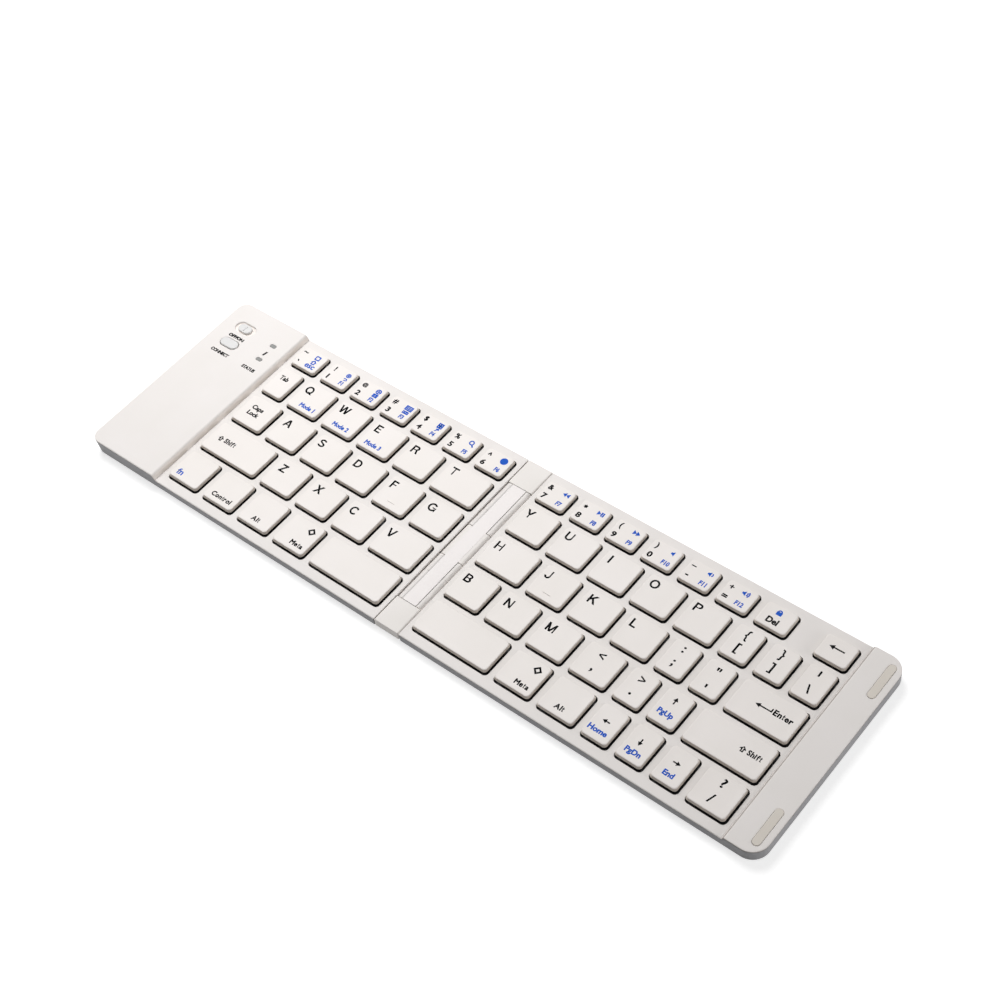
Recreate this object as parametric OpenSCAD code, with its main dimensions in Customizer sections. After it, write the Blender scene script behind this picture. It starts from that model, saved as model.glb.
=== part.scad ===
// A pocket keyboard in two halves that fold together over a narrow hinged spine.
// X runs along the keyboard, Y from front to back and Z up; it stands on its feet at Z = 0.

/* [Case] */
// Thickness of the halves at the key deck
deck_t = 3.4; // [3.3:0.1:4.6]
// Thickness of the top cases over the inside
lid_t = 0.9; // [0.7:0.05:1.1]
// Height of the band that the top cases show around their edges
lid_edge_t = 0.45; // [0.3:0.05:0.6]
// Thickness of the bottom cases' outer walls
wall_t = 1.2; // [0.9:0.1:1.6]
// Thickness of the bottom cases' floors
floor_t = 0.7; // [0.6:0.05:0.9]
// Thickness of the top cases' walls beside the spine
hinge_wall_t = 0.7; // [0.5:0.05:0.75]

/* [Raised ends] */
// Length of the raised end of the left half
left_block_w = 31.95; // [30:0.05:45]
// Height of the raised end of the left half over the deck
left_block_h = 2.1; // [1.9:0.05:2.3]
// Length of the slope up to the left raised end
left_slope_w = 1.4; // [0.6:0.1:2]
// Corner radius of the left half
left_corner_r = 4; // [2.5:0.25:6]
// Length of the raised end of the right half
right_block_w = 12; // [11:0.05:20]
// Height of the raised end of the right half over the deck
right_block_h = 1.2; // [0.8:0.05:1.3]
// Length of the slope up to the right raised end
right_slope_w = 0.6; // [0.4:0.1:1.5]
// Corner radius of the right half
right_corner_r = 6; // [3:0.25:7]

/* [Keys] */
// Spacing of the letter keys along a row
letter_pitch = 17; // [16.5:0.1:19]
// Spacing of the narrow keys at the right
narrow_pitch = 12.9; // [12.5:0.1:14]
// Spacing of the inner letter keys T and V
inner_pitch = 21.4; // [20:0.1:24]
// Spacing of the H key, which starts its row beside the spine
home_pitch = 21.25; // [20:0.05:24]
// Spacing of the rows, front to back
row_pitch = 16; // [15.8:0.1:17]
// Width of the bars between the keys of a row
key_bar = 1.6; // [1.4:0.1:2]
// Width of the bars between the rows
row_bar = 1.8; // [1.5:0.1:2.2]
// Depth of the openings of the number row
number_d = 10.4; // [10.2:0.1:11]
// Distance from the front of the case to the first row
front_margin = 3.7; // [3.4:0.1:5]
// Distance from the number row to the back of the case
back_margin = 3.4; // [3.2:0.1:5]
// Distance from the left key field to the left slope
left_outer_margin = 0.15; // [0:0.05:1]
// Distance from the right key field to the right slope
right_outer_margin = 1.5; // [1:0.05:3]
// Distance from the edge beside the spine to the left half's keys
left_inner_margin = 1.45; // [1.3:0.05:2]
// Distance from the edge beside the spine to the right half's keys
right_inner_margin = 0.75; // [0.7:0.05:1.5]
// Corner radius of the key openings
key_r = 1.7; // [1:0.1:2]
// Height of the key tops over the deck
key_rise = 1.35; // [1.1:0.05:1.4]
// Depth of the key skirts below the deck
key_skirt = 0.1; // [0.05:0.05:0.5]
// How much the keys narrow on each side from the deck to the top
key_draft = 0.45; // [0.3:0.05:0.7]
// Wall thickness of the keys
key_wall = 0.8; // [0.6:0.05:0.85]
// Length of the low bars that mark the F and J keys
mark_l = 3.2; // [2.5:0.1:4]
// Width of those bars
mark_w = 0.4; // [0.3:0.05:0.6]
// Height of those bars
mark_h = 0.15; // [0.1:0.01:0.25]
// Distance of those bars from the front of the keys
mark_y = 2.8; // [2:0.1:4]

/* [Key works] */
// Thickness of the metal key plates
plate_t = 0.3; // [0.2:0.05:0.4]
// Thickness of the membranes
membrane_t = 0.3; // [0.2:0.05:0.4]
// Height of the rubber domes
dome_h = 1.6; // [1.4:0.05:1.7]
// How much the rubber domes narrow on each side from foot to top
dome_draft = 0.9; // [0.7:0.05:1]
// Length of the scissor frames, front to back
scissor_l = 6.8; // [6.2:0.1:7]
// Width and thickness of the scissor frames' bars
scissor_bar = 0.7; // [0.5:0.05:0.75]
// Tilt of the scissor frames
scissor_tilt = 11; // [8:0.5:12]

/* [Hinges] */
// Gap between the keys and the other half's raised end when the keyboard is folded
fold_gap = 0.35; // [0.3:0.05:0.6]
// Diameter of the hinge barrels
barrel_d = 3; // [2.8:0.05:3.1]
// Diameter of the hinge pins
pin_d = 1.2; // [1:0.05:1.3]
// Length of the spine's blocks at the front and the back
end_block_l = 11.55; // [9:0.05:14]
// Length of the spine's own barrels in the middle
middle_barrel_l = 14.5; // [12:0.1:18]
// Length of the shorter barrels beside them
short_barrel_l = 8.2; // [6:0.1:10]
// Width of the bar along the middle of the spine
bar_w = 5.7; // [5:0.05:5.9]
// Thickness of that bar
bar_t = 0.5; // [0.4:0.05:0.6]
// Width of the flat cable through the spine
flex_w = 10; // [8:0.5:12]
// Thickness of the flat cable
flex_t = 0.15; // [0.1:0.01:0.2]

/* [Controls] */
// Length of the recess of the power slider
recess_l = 9.2; // [8.8:0.1:10]
// Width of the recess of the power slider
recess_w = 5; // [4.8:0.1:5.4]
// Depth of that recess
recess_depth = 0.6; // [0.5:0.05:0.7]
// Length of the power slider's knob
knob_l = 6; // [5.4:0.1:6.2]
// Width of the power slider's knob
knob_w = 3.8; // [3.4:0.1:4.2]
// How far the power slider moves
slider_travel = 1.6; // [1.4:0.1:2]
// Length of the connect button
button_l = 8.6; // [8:0.1:9]
// Width of the connect button
button_w = 4.2; // [3.8:0.1:4.6]
// How far the connect button stands out
button_rise = 0.35; // [0.2:0.05:0.5]
// How far the connect button travels
button_travel = 0.4; // [0.3:0.05:0.5]
// Length of the status lights
light_l = 3; // [2.5:0.1:3.5]
// Width of the status lights
light_w = 1.7; // [1.4:0.1:2]
// Distance of the slider and the button from the left end
control_x = 10.5; // [10:0.1:11.5]
// Distance of the status lights from the left end
light_x = 25.5; // [24:0.1:26]
// Distance of the slider and the first light from the back
slider_y = 10.45; // [10:0.05:11]
// Distance of the button and the second light from the back
button_y = 19.25; // [18.5:0.05:20]

/* [Electronics] */
// Width of the battery
battery_w = 24; // [20:0.5:25]
// Thickness of the battery
battery_t = 3; // [2.5:0.1:3.3]
// Width of the circuit board
board_w = 28; // [27:0.5:29]
// Length of the circuit board, front to back
board_l = 26; // [24:0.5:27]
// Thickness of the circuit board
board_t = 0.8; // [0.6:0.1:0.8]
// Width of the charging socket
socket_w = 7.5; // [7:0.1:8]
// Height of the charging socket
socket_h = 2.5; // [2.3:0.1:2.6]
// Depth of the charging socket
socket_l = 5.2; // [4.5:0.1:6]

/* [Pads, feet and screws] */
// Length of the pads on the right raised end
pad_l = 14.4; // [12:0.1:18]
// Width of those pads
pad_w = 3.1; // [2.5:0.1:4]
// How far the pads stand out
pad_rise = 0.3; // [0.2:0.05:0.35]
// Depth of the recesses of the pads
pad_depth = 0.5; // [0.4:0.05:0.6]
// Distance of the pads' middle from the right end
pad_x = 4.05; // [3.5:0.05:5]
// Distance of the pads' middle from the front and the back
pad_y = 10.05; // [9:0.05:12]
// Diameter of the feet
foot_d = 8; // [6:0.5:10]
// How far the feet stand below the case
foot_h = 0.6; // [0.5:0.1:1]
// Depth of the recesses of the feet
foot_depth = 0.2; // [0.1:0.05:0.3]
// Distance of the feet from the long edges
foot_y = 8; // [7:0.5:10]
// Distance of the feet from the spine and from the ends
foot_x = 10; // [9:0.5:14]
// Diameter of the screws
screw_d = 1.4; // [1.2:0.1:1.6]
// Diameter of the screw heads
screw_head_d = 2.6; // [2.2:0.1:2.8]
// Height of the screw heads
screw_head_h = 0.4; // [0.3:0.05:0.5]
// Diameter of the screw bosses
boss_d = 3.4; // [3:0.1:3.6]
// Distance of the screws from the long edges
screw_y = 4.6; // [4.4:0.1:5.5]

/* [Fits] */
// Gap between the keys and their openings
key_gap = 0.65; // [0.4:0.05:0.75]
// Gap between the spine and the halves
spine_gap = 0.45; // [0.4:0.05:0.6]
// Gap around the barrels, and between their ends
barrel_gap = 0.15; // [0.12:0.01:0.2]
// Running clearance of the hinge pins, on the radius
pin_gap = 0.05; // [0.02:0.01:0.08]
// Gap between the rubber domes and the scissor frames
dome_gap = 0.45; // [0.35:0.05:0.6]
// Gap around controls and fitted inner pieces
fit_gap = 0.15; // [0.1:0.01:0.25]

/* [Hidden] */
$fn = 48;
eps = 0.02;

// Depth of the keyboard: four rows of keys and the number row
case_d = front_margin + 4 * row_pitch + number_d + back_margin;

// Heights
z_base = foot_h;
z_inside = foot_h + floor_t;
z_plate = z_inside + plate_t;
z_membrane = z_plate + membrane_t;
z_deck = foot_h + deck_t;
z_axis = foot_h + deck_t / 2;
z_lid = z_deck - lid_t;
z_left_top = z_deck + left_block_h;
z_right_top = z_deck + right_block_h;
z_key_top = z_deck + key_rise;
z_key_skirt = z_deck - key_skirt;

// The spine and the edges beside it
axis_gap = deck_t + left_block_h + key_rise + fold_gap;
axis_x = axis_gap / 2;
spine_r = deck_t / 2;
half_edge = axis_x + spine_r + spine_gap;
block_y = case_d / 2 - end_block_l;
bore_r = pin_d / 2 + pin_gap;
barrel_r = barrel_d / 2;
pin_l = case_d - 2 * wall_t;
flex_z = z_base + (deck_t - barrel_d) / 2 + 0.35;

// The key fields: six letter spacings on the left, five and three narrow ones on the right
left_field_w = 6 * letter_pitch;
right_field_w = 5 * letter_pitch + 3 * narrow_pitch;
number_pitch = left_field_w / 7;
tab_pitch = left_field_w - 4 * letter_pitch - inner_pitch;
left_field_x = -half_edge - left_inner_margin - left_field_w;
right_field_x = half_edge + right_inner_margin - key_bar;

// The works under the narrowest keys fit all of them
scissor_w = min(narrow_pitch, tab_pitch) - key_bar - 2 * (key_gap + key_wall + fit_gap);
inner_scissor_w = scissor_w - 2 * (scissor_bar + fit_gap);
dome_d = inner_scissor_w - 2 * (scissor_bar + dome_gap);
dome_top_d = dome_d - 2 * dome_draft;

// The slopes and the ends, as distances from the middle of the spine
left_slope_x = left_outer_margin - left_field_x;
left_reach = left_slope_x + left_slope_w + left_block_w;
right_slope_x = right_field_x + right_field_w + right_outer_margin;
right_reach = right_slope_x + right_slope_w + right_block_w;

// Each row's keys from left to right as [name, spacing]; a spacing of 0 takes what is left
left_rows = [
    [["fn", letter_pitch], ["control", letter_pitch], ["left_alt", letter_pitch],
     ["left_meta", letter_pitch], ["left_space", 0]],
    [["left_shift", 0], ["z", letter_pitch], ["x", letter_pitch], ["c", letter_pitch],
     ["v", inner_pitch]],
    [["caps_lock", 0], ["a", letter_pitch], ["s", letter_pitch], ["d", letter_pitch],
     ["f", letter_pitch], ["g", letter_pitch]],
    [["tab", 0], ["q", letter_pitch], ["w", letter_pitch], ["e", letter_pitch],
     ["r", letter_pitch], ["t", inner_pitch]],
    [for (name = ["escape", "1", "2", "3", "4", "5", "6"]) [name, number_pitch]]
];
right_rows = [
    [["right_space", 2 * letter_pitch], ["right_meta", letter_pitch], ["right_alt", letter_pitch],
     ["arrow_left", narrow_pitch], ["arrow_down", narrow_pitch], ["arrow_right", narrow_pitch],
     ["slash", 0]],
    [["b", letter_pitch], ["n", letter_pitch], ["m", letter_pitch], ["comma", letter_pitch],
     ["period", narrow_pitch], ["arrow_up", narrow_pitch], ["right_shift", 0]],
    [["h", home_pitch], ["j", letter_pitch], ["k", letter_pitch], ["l", letter_pitch],
     ["semicolon", narrow_pitch], ["quote", narrow_pitch], ["enter", 0]],
    [["y", letter_pitch], ["u", letter_pitch], ["i", letter_pitch], ["o", letter_pitch],
     ["p", letter_pitch], ["left_bracket", narrow_pitch], ["right_bracket", narrow_pitch],
     ["backslash", 0]],
    concat([for (name = ["7", "8", "9", "0", "minus", "equals", "delete"]) [name, number_pitch]],
           [["", 0], ["backspace", number_pitch]])
];

// Keys that stand alone, and the groups that share a node
single_keys = ["q", "w", "e", "r", "t", "a", "s", "d", "f", "g", "z", "x", "c", "v",
               "left_space", "y", "u", "i", "o", "p", "h", "j", "k", "l", "b", "n", "m",
               "right_space"];
left_number_names = [for (key = left_rows[4]) key[0]];
right_number_names = [for (key = right_rows[4]) key[0]];
left_side_names = ["tab", "caps_lock", "left_shift", "fn", "control", "left_alt", "left_meta"];
right_side_names = ["left_bracket", "right_bracket", "backslash", "semicolon", "quote", "enter",
                    "comma", "period", "arrow_up", "right_shift", "right_meta", "right_alt",
                    "arrow_left", "arrow_down", "arrow_right", "slash"];

// Spacing of the keys before number i of a row whose empty spacing takes the rest of the field
function total(row, i) = i == 0 ? 0 : row[i - 1][1] + total(row, i - 1);
function filled(row, field_w) =
    [for (key = row) [key[0], key[1] > 0 ? key[1] : field_w - total(row, len(row))]];

// Openings of a half as [name, low x, high x, low y, high y]
function openings(rows, field_x, field_w) = [
    for (n = [0 : len(rows) - 1])
        let (row = filled(rows[n], field_w))
        let (y = front_margin - case_d / 2 + n * row_pitch)
        let (d = n == len(rows) - 1 ? number_d : row_pitch - row_bar)
        for (i = [0 : len(row) - 1])
            if (row[i][0] != "")
                [row[i][0], field_x + total(row, i) + key_bar, field_x + total(row, i + 1), y, y + d]
];
left_openings = openings(left_rows, left_field_x, left_field_w);
right_openings = openings(right_rows, right_field_x, right_field_w);
function named(list, names) = [for (key = list) if (len([for (n = names) if (n == key[0]) n]) > 0) key];
function middle(key) = [(key[1] + key[2]) / 2, (key[3] + key[4]) / 2];

// Mirrors the right-hand form of a case piece to the left
module on_left() {
    mirror([1, 0, 0]) children();
}

// A rectangle with round corners, between two corners in the plan
module round_rect(low, high, r) {
    translate([low[0] + r, low[1]])
        square([high[0] - low[0] - 2 * r, high[1] - low[1]]);
    translate([low[0], low[1] + r])
        square([high[0] - low[0], high[1] - low[1] - 2 * r]);
    for (x = [low[0] + r, high[0] - r])
        for (y = [low[1] + r, high[1] - r])
            translate([x, y])
                circle(r);
}

// A bar with round ends, centred, with its length along X
module slot(length, width) {
    square([length - width, width], center = true);
    for (x = [-1, 1])
        translate([x * (length - width) / 2, 0])
            circle(width / 2);
}

// Plan of a half: straight beside the spine, with two round corners at its end
module half_plan(reach, r, inset, edge) {
    y = case_d / 2 - inset;
    x = reach - inset;
    corner = r - inset;
    translate([edge, -y])
        square([x - corner - edge, 2 * y]);
    translate([edge, corner - y])
        square([x - edge, 2 * (y - corner)]);
    for (side = [-1, 1])
        translate([x - corner, side * (y - corner)])
            circle(corner);
}

// Everything below the top of a half, lowered by drop: the deck, the slope and the raised end
module below_top(reach, slope_x, slope_w, block_h, drop) {
    y = case_d / 2 + 1;
    top = z_deck - drop;
    translate([0, y, 0])
        rotate([90, 0, 0])
            linear_extrude(2 * y)
                polygon([[0, 0], [reach + 1, 0], [reach + 1, top + block_h],
                         [slope_x + slope_w, top + block_h], [slope_x, top], [0, top]]);
}

// Bottom case of a half: a floor with walls at the front, the back and the end
module tub(reach, slope_x, slope_w, block_h, r) {
    difference() {
        intersection() {
            translate([0, 0, z_base])
                linear_extrude(deck_t + block_h)
                    half_plan(reach, r, 0, half_edge);
            below_top(reach, slope_x, slope_w, block_h, lid_edge_t);
        }
        translate([0, 0, z_inside])
            linear_extrude(deck_t + block_h)
                half_plan(reach, r, wall_t, half_edge - 1);
    }
}

// Top case of a half: the deck, the slope and the raised end, with an inner rim inside the walls
module lid(reach, slope_x, slope_w, block_h, r) {
    difference() {
        intersection() {
            translate([0, 0, z_base])
                linear_extrude(deck_t + block_h)
                    half_plan(reach, r, 0, half_edge);
            below_top(reach, slope_x, slope_w, block_h, 0);
        }
        below_top(reach, slope_x, slope_w, block_h, lid_t);
        difference() {
            below_top(reach, slope_x, slope_w, block_h, lid_edge_t);
            linear_extrude(2 * z_left_top)
                half_plan(reach, r, wall_t + fit_gap, half_edge - 1);
        }
    }
}

// Wall of a top case beside the spine, which stands on the bottom case's floor
module hinge_wall() {
    side = case_d / 2 - wall_t - fit_gap;
    translate([half_edge, -side, z_inside])
        cube([hinge_wall_t, 2 * side, z_deck - lid_edge_t - z_inside]);
}

// Barrels of a half: a long and a short one on each side of the spine's own, on a low web
module half_barrels() {
    inner = middle_barrel_l / 2 + barrel_gap;
    outer = block_y - barrel_gap;
    seam = middle_barrel_l / 2 + short_barrel_l;
    web_top = z_axis + barrel_r / 5;
    difference() {
        for (low = [inner, -outer]) {
            translate([axis_x, low + outer - inner, z_axis])
                rotate([90, 0, 0])
                    cylinder(h = outer - inner, r = barrel_r);
            translate([axis_x, low, z_inside])
                cube([half_edge + eps - axis_x, outer - inner, web_top - z_inside]);
        }
        translate([axis_x, case_d / 2, z_axis])
            rotate([90, 0, 0])
                cylinder(h = case_d, r = bore_r);
        for (side = [-1, 1])
            translate([axis_x, side * seam, z_axis])
                rotate([90, 0, 0])
                    difference() {
                        cylinder(h = barrel_gap, r = barrel_r + spine_gap / 2, center = true);
                        cylinder(h = 2 * barrel_gap, r = barrel_r - barrel_gap, center = true);
                    }
    }
}

// Screw places of the halves in the right-hand form, and the bosses under the lids there
left_screw_places = [
    for (x = [left_reach - wall_t - boss_d, left_slope_x + left_slope_w + boss_d / 2 + fit_gap])
        for (side = [-1, 1])
            [x, side * (case_d / 2 - screw_y)]
];
right_screw_places = [
    for (y = [screw_y, case_d / 3])
        for (side = [-1, 1])
            [right_reach - wall_t - boss_d, side * (case_d / 2 - y)]
];
module bosses(places, top) {
    for (place = places)
        translate([place[0], place[1], z_inside])
            cylinder(h = top - lid_t - z_inside + eps, d = boss_d);
}
module screws(places) {
    for (place = places)
        translate([place[0], place[1], z_base]) {
            cylinder(h = screw_head_h, d = screw_head_d);
            cylinder(h = deck_t - lid_t, d = screw_d);
        }
}
module screw_holes(places, gap) {
    for (place = places)
        translate([place[0], place[1], z_base]) {
            translate([0, 0, -eps])
                cylinder(h = screw_head_h + gap + eps, d = screw_head_d + 2 * gap);
            cylinder(h = deck_t - lid_t + gap, d = screw_d + 2 * gap);
        }
}

// Foot places of a half in the right-hand form
function foot_places(reach) = [
    for (x = [half_edge + foot_x, reach - foot_x])
        for (side = [-1, 1]) [x, side * (case_d / 2 - foot_y)]];
module feet(reach, gap) {
    for (place = foot_places(reach))
        translate([place[0], place[1], -gap])
            cylinder(h = foot_h + foot_depth + gap, d = foot_d + 2 * gap);
}

// Openings through a deck for the keys
module key_openings(list) {
    for (key = list)
        translate([0, 0, z_lid - 1])
            linear_extrude(lid_t + 2)
                round_rect([key[1], key[3]], [key[2], key[4]], key_r);
}

// Side view of a keycap: straight below the deck and sloping above it
module cap_profile(low, high, h) {
    polygon([[low, 0], [high, 0], [high, key_skirt], [high - key_draft, h],
             [low + key_draft, h], [low, key_skirt]]);
}

// One keycap: a hollow cap with sloping sides and a plunger over its dome
module keycap(key) {
    low = [key[1] + key_gap, key[3] + key_gap];
    high = [key[2] - key_gap, key[4] - key_gap];
    h = key_rise + key_skirt;
    inner_top = z_key_top - key_wall;
    difference() {
        intersection() {
            translate([0, 0, z_key_skirt])
                linear_extrude(h)
                    round_rect(low, high, key_r - key_gap);
            translate([0, high[1], z_key_skirt])
                rotate([90, 0, 0])
                    linear_extrude(high[1] - low[1])
                        cap_profile(low[0], high[0], h);
            translate([low[0], 0, z_key_skirt])
                rotate([90, 0, 90])
                    linear_extrude(high[0] - low[0])
                        cap_profile(low[1], high[1], h);
        }
        translate([low[0] + key_wall, low[1] + key_wall, z_key_skirt - 1])
            cube([high[0] - low[0] - 2 * key_wall, high[1] - low[1] - 2 * key_wall,
                  inner_top - z_key_skirt + 1]);
    }
    translate([middle(key)[0], middle(key)[1], z_membrane + dome_h + fit_gap / 3])
        cylinder(h = inner_top + eps - z_membrane - dome_h - fit_gap / 3, d = dome_top_d);
}
module keycaps(list) {
    for (key = list)
        keycap(key);
}

// The low bar on the top of a key that a finger finds without looking
module key_mark(key) {
    translate([middle(key)[0] - mark_l / 2, key[3] + key_gap + mark_y, z_key_top - key_wall / 2])
        cube([mark_l, mark_w, key_wall / 2 + mark_h]);
}

// Metal plate of a half, between the spine wall and the slope, on the floor
module key_plate(low_x, high_x) {
    y = case_d / 2 - wall_t - 2 * fit_gap;
    translate([low_x, -y, z_inside])
        cube([high_x - low_x, 2 * y, plate_t]);
}
module membrane(low_x, high_x) {
    y = case_d / 2 - wall_t - 4 * fit_gap;
    translate([low_x, -y, z_plate])
        cube([high_x - low_x, 2 * y, membrane_t]);
}

// A rubber dome under each key
module domes(list) {
    for (key = list)
        translate([middle(key)[0], middle(key)[1], z_membrane])
            cylinder(h = dome_h, d1 = dome_d, d2 = dome_top_d);
}

// Two crossed frames under each key, which hold it level
module scissor_frame(w) {
    difference() {
        cube([w, scissor_l, scissor_bar], center = true);
        cube([w - 2 * scissor_bar, scissor_l - 2 * scissor_bar, 2 * scissor_bar], center = true);
    }
}
module scissors(list) {
    rise = (scissor_l * sin(scissor_tilt) + scissor_bar * cos(scissor_tilt)) / 2;
    for (key = list)
        translate([middle(key)[0], middle(key)[1], z_membrane + rise + fit_gap / 3]) {
            rotate([scissor_tilt, 0, 0])
                scissor_frame(scissor_w);
            rotate([-scissor_tilt, 0, 0])
                scissor_frame(inner_scissor_w);
        }
}

// Places in the left raised end, from its end and from the back
control_mid = [control_x - left_reach, case_d / 2 - slider_y];
button_mid = [control_x - left_reach, case_d / 2 - button_y];
light_mids = [for (y = [slider_y + 0.7, button_y - 0.35]) [light_x - left_reach, case_d / 2 - y]];
slider_rest_x = control_mid[0] + recess_l / 2 - fit_gap - slider_travel - knob_l / 2;
stem_l = 1.6;
stem_w = 1.2;
board_top = z_inside + 2 * fit_gap + board_t;
board_low = [wall_t + fit_gap - left_reach, case_d / 2 - wall_t - boss_d - 2 * fit_gap - screw_y / 2 - board_l];
battery_y = screw_y + boss_d / 2 + 2 * fit_gap - case_d / 2;
battery_l = board_low[1] - 2 * fit_gap - battery_y;
socket_y = board_low[1] + socket_w / 2 + 1;
switch_h = 1.2;
flange_t = 0.4;

module left_top_case() {
    color("whitesmoke")
        difference() {
            union() {
                on_left() {
                    lid(left_reach, left_slope_x, left_slope_w, left_block_h, left_corner_r);
                    hinge_wall();
                    half_barrels();
                    bosses(left_screw_places, z_left_top);
                }
                translate([control_mid[0], control_mid[1], z_left_top - lid_t - recess_depth])
                    linear_extrude(recess_depth + eps)
                        slot(recess_l + 2, recess_w + 2);
            }
            key_openings(left_openings);
            on_left()
                screw_holes(left_screw_places, 0.02);
            translate([control_mid[0], control_mid[1], z_left_top - recess_depth])
                linear_extrude(recess_depth + 1)
                    slot(recess_l, recess_w);
            translate([slider_rest_x + slider_travel / 2, control_mid[1],
                       z_left_top - 2 * lid_t - recess_depth])
                linear_extrude(3 * lid_t)
                    slot(stem_l + slider_travel + 2 * fit_gap, stem_w + 2 * fit_gap);
            translate([button_mid[0], button_mid[1], z_left_top - lid_t - 1])
                linear_extrude(lid_t + 2)
                    slot(button_l + 2 * fit_gap, button_w + 2 * fit_gap);
            for (mid = light_mids)
                translate([mid[0], mid[1], z_left_top - lid_t - 1])
                    linear_extrude(lid_t + 2)
                        slot(light_l, light_w);
        }
}

module left_bottom_case() {
    color("gray")
        difference() {
            on_left()
                tub(left_reach, left_slope_x, left_slope_w, left_block_h, left_corner_r);
            on_left() {
                screw_holes(left_screw_places, fit_gap);
                feet(left_reach, 0.02);
            }
            translate([-left_reach - 1, socket_y - socket_w / 2 - fit_gap, board_top - fit_gap])
                cube([wall_t + 2, socket_w + 2 * fit_gap, socket_h + 2 * fit_gap]);
        }
}

module left_key_plate() {
    color("silver")
        key_plate(fit_gap - left_slope_x, -half_edge - hinge_wall_t - fit_gap);
}

module left_membrane() {
    color("dimgray")
        membrane(2 * fit_gap - left_slope_x, -half_edge - hinge_wall_t - 2 * fit_gap);
}

module left_rubber_domes() {
    color("lightgray")
        domes(left_openings);
}

module left_scissor_frames() {
    color("white")
        scissors(left_openings);
}

module circuit_board() {
    color("seagreen") {
        translate([board_low[0], board_low[1], board_top - board_t])
            cube([board_w, board_l, board_t]);
        translate([slider_rest_x + slider_travel / 2 - 4, control_mid[1] - 1.8, board_top - eps])
            cube([8, 3.6, switch_h + eps]);
        translate([button_mid[0] - 2.6, button_mid[1] - 1.8, board_top - eps])
            cube([5.2, 3.6, switch_h + eps]);
        for (mid = light_mids)
            translate([mid[0] - 0.8, mid[1] - 0.4, board_top - eps])
                cube([1.6, 0.8, 0.6]);
    }
}

module battery() {
    color("lightsteelblue")
        translate([-left_slope_x - left_slope_w - fit_gap - boss_d / 2 - battery_w, battery_y,
                   z_inside])
            linear_extrude(battery_t)
                round_rect([0, 0], [battery_w, battery_l], 1);
}

module charging_socket() {
    color("silver")
        translate([fit_gap - left_reach, socket_y - socket_w / 2, board_top])
            difference() {
                cube([socket_l, socket_w, socket_h]);
                translate([-1, 0.4, 0.4])
                    cube([socket_l, socket_w - 0.8, socket_h - 0.8]);
            }
}

module power_slider() {
    floor_z = z_left_top - recess_depth;
    color("white") {
        translate([slider_rest_x, control_mid[1], floor_z + fit_gap / 3])
            linear_extrude(recess_depth + fit_gap)
                slot(knob_l, knob_w);
        translate([slider_rest_x, control_mid[1], board_top + switch_h + fit_gap])
            linear_extrude(floor_z + fit_gap - board_top - switch_h)
                slot(stem_l, stem_w);
        translate([slider_rest_x, control_mid[1], z_left_top + fit_gap])
            rotate([90, 0, 0])
                cylinder(h = knob_w / 2, r = 0.25, center = true);
    }
}

module connect_button() {
    color("white") {
        translate([button_mid[0], button_mid[1], z_left_top - lid_t - flange_t / 2])
            linear_extrude(lid_t + button_rise + flange_t / 2)
                slot(button_l, button_w);
        translate([button_mid[0], button_mid[1], z_left_top - lid_t - fit_gap - flange_t])
            linear_extrude(flange_t)
                slot(button_l + 1.2, button_w + 1.2);
        translate([button_mid[0], button_mid[1], board_top + switch_h + button_travel + fit_gap])
            cylinder(h = z_left_top - lid_t - fit_gap - board_top - switch_h - button_travel - fit_gap,
                     d = 2.4);
    }
}

module status_lights() {
    color("darkgray")
        for (mid = light_mids)
            translate([mid[0], mid[1], z_left_top - lid_t - 0.4])
                linear_extrude(lid_t + 0.4)
                    slot(light_l - 0.04, light_w - 0.04);
}

module left_feet() {
    color("dimgray")
        on_left()
            feet(left_reach, 0);
}

module left_screws() {
    color("silver")
        on_left()
            screws(left_screw_places);
}

// The spine: round-sided blocks at its ends, and between them a waisted web with two barrels
module spine() {
    color("whitesmoke")
        difference() {
            union() {
                for (side = [-1, 1])
                    translate([0, side * (case_d / 2 - end_block_l / 2), z_axis])
                        rotate([90, 0, 0])
                            linear_extrude(end_block_l, center = true)
                                slot(axis_gap + deck_t, deck_t);
                difference() {
                    translate([-bar_w / 2, -block_y - eps, z_base])
                        cube([bar_w, 2 * (block_y + eps), deck_t - bar_t]);
                    for (side = [-1, 1])
                        translate([side * axis_x, block_y, z_axis])
                            rotate([90, 0, 0])
                                cylinder(h = 2 * block_y, r = barrel_r + barrel_gap);
                }
                for (side = [-1, 1])
                    translate([side * axis_x, 0, z_axis])
                        rotate([90, 0, 0])
                            cylinder(h = middle_barrel_l, r = barrel_r, center = true);
                translate([-axis_x, -middle_barrel_l / 2, z_base])
                    cube([axis_gap, middle_barrel_l, deck_t - bar_t]);
            }
            for (side = [-1, 1])
                translate([side * axis_x, pin_l / 2 + fit_gap, z_axis])
                    rotate([90, 0, 0])
                        cylinder(h = pin_l + 2 * fit_gap, r = bore_r);
            translate([-axis_gap, -flex_w / 2 - fit_gap, flex_z - fit_gap / 3])
                cube([2 * axis_gap, flex_w + 2 * fit_gap, flex_t + fit_gap * 2 / 3]);
        }
}
// The bar along the middle of the spine, with its undersides hollowed over the barrels
module spine_bar() {
    color("white")
        difference() {
            translate([-bar_w / 2, fit_gap - block_y, z_deck - bar_t])
                cube([bar_w, 2 * (block_y - fit_gap), bar_t]);
            for (side = [-1, 1])
                translate([side * axis_x, block_y, z_axis])
                    rotate([90, 0, 0])
                        cylinder(h = 2 * block_y, r = barrel_r + barrel_gap);
        }
}

module hinge_pin(x) {
    color("silver")
        translate([x, pin_l / 2, z_axis])
            rotate([90, 0, 0])
                cylinder(h = pin_l, d = pin_d);
}

module left_hinge_pin() {
    hinge_pin(-axis_x);
}

module right_hinge_pin() {
    hinge_pin(axis_x);
}

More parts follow.
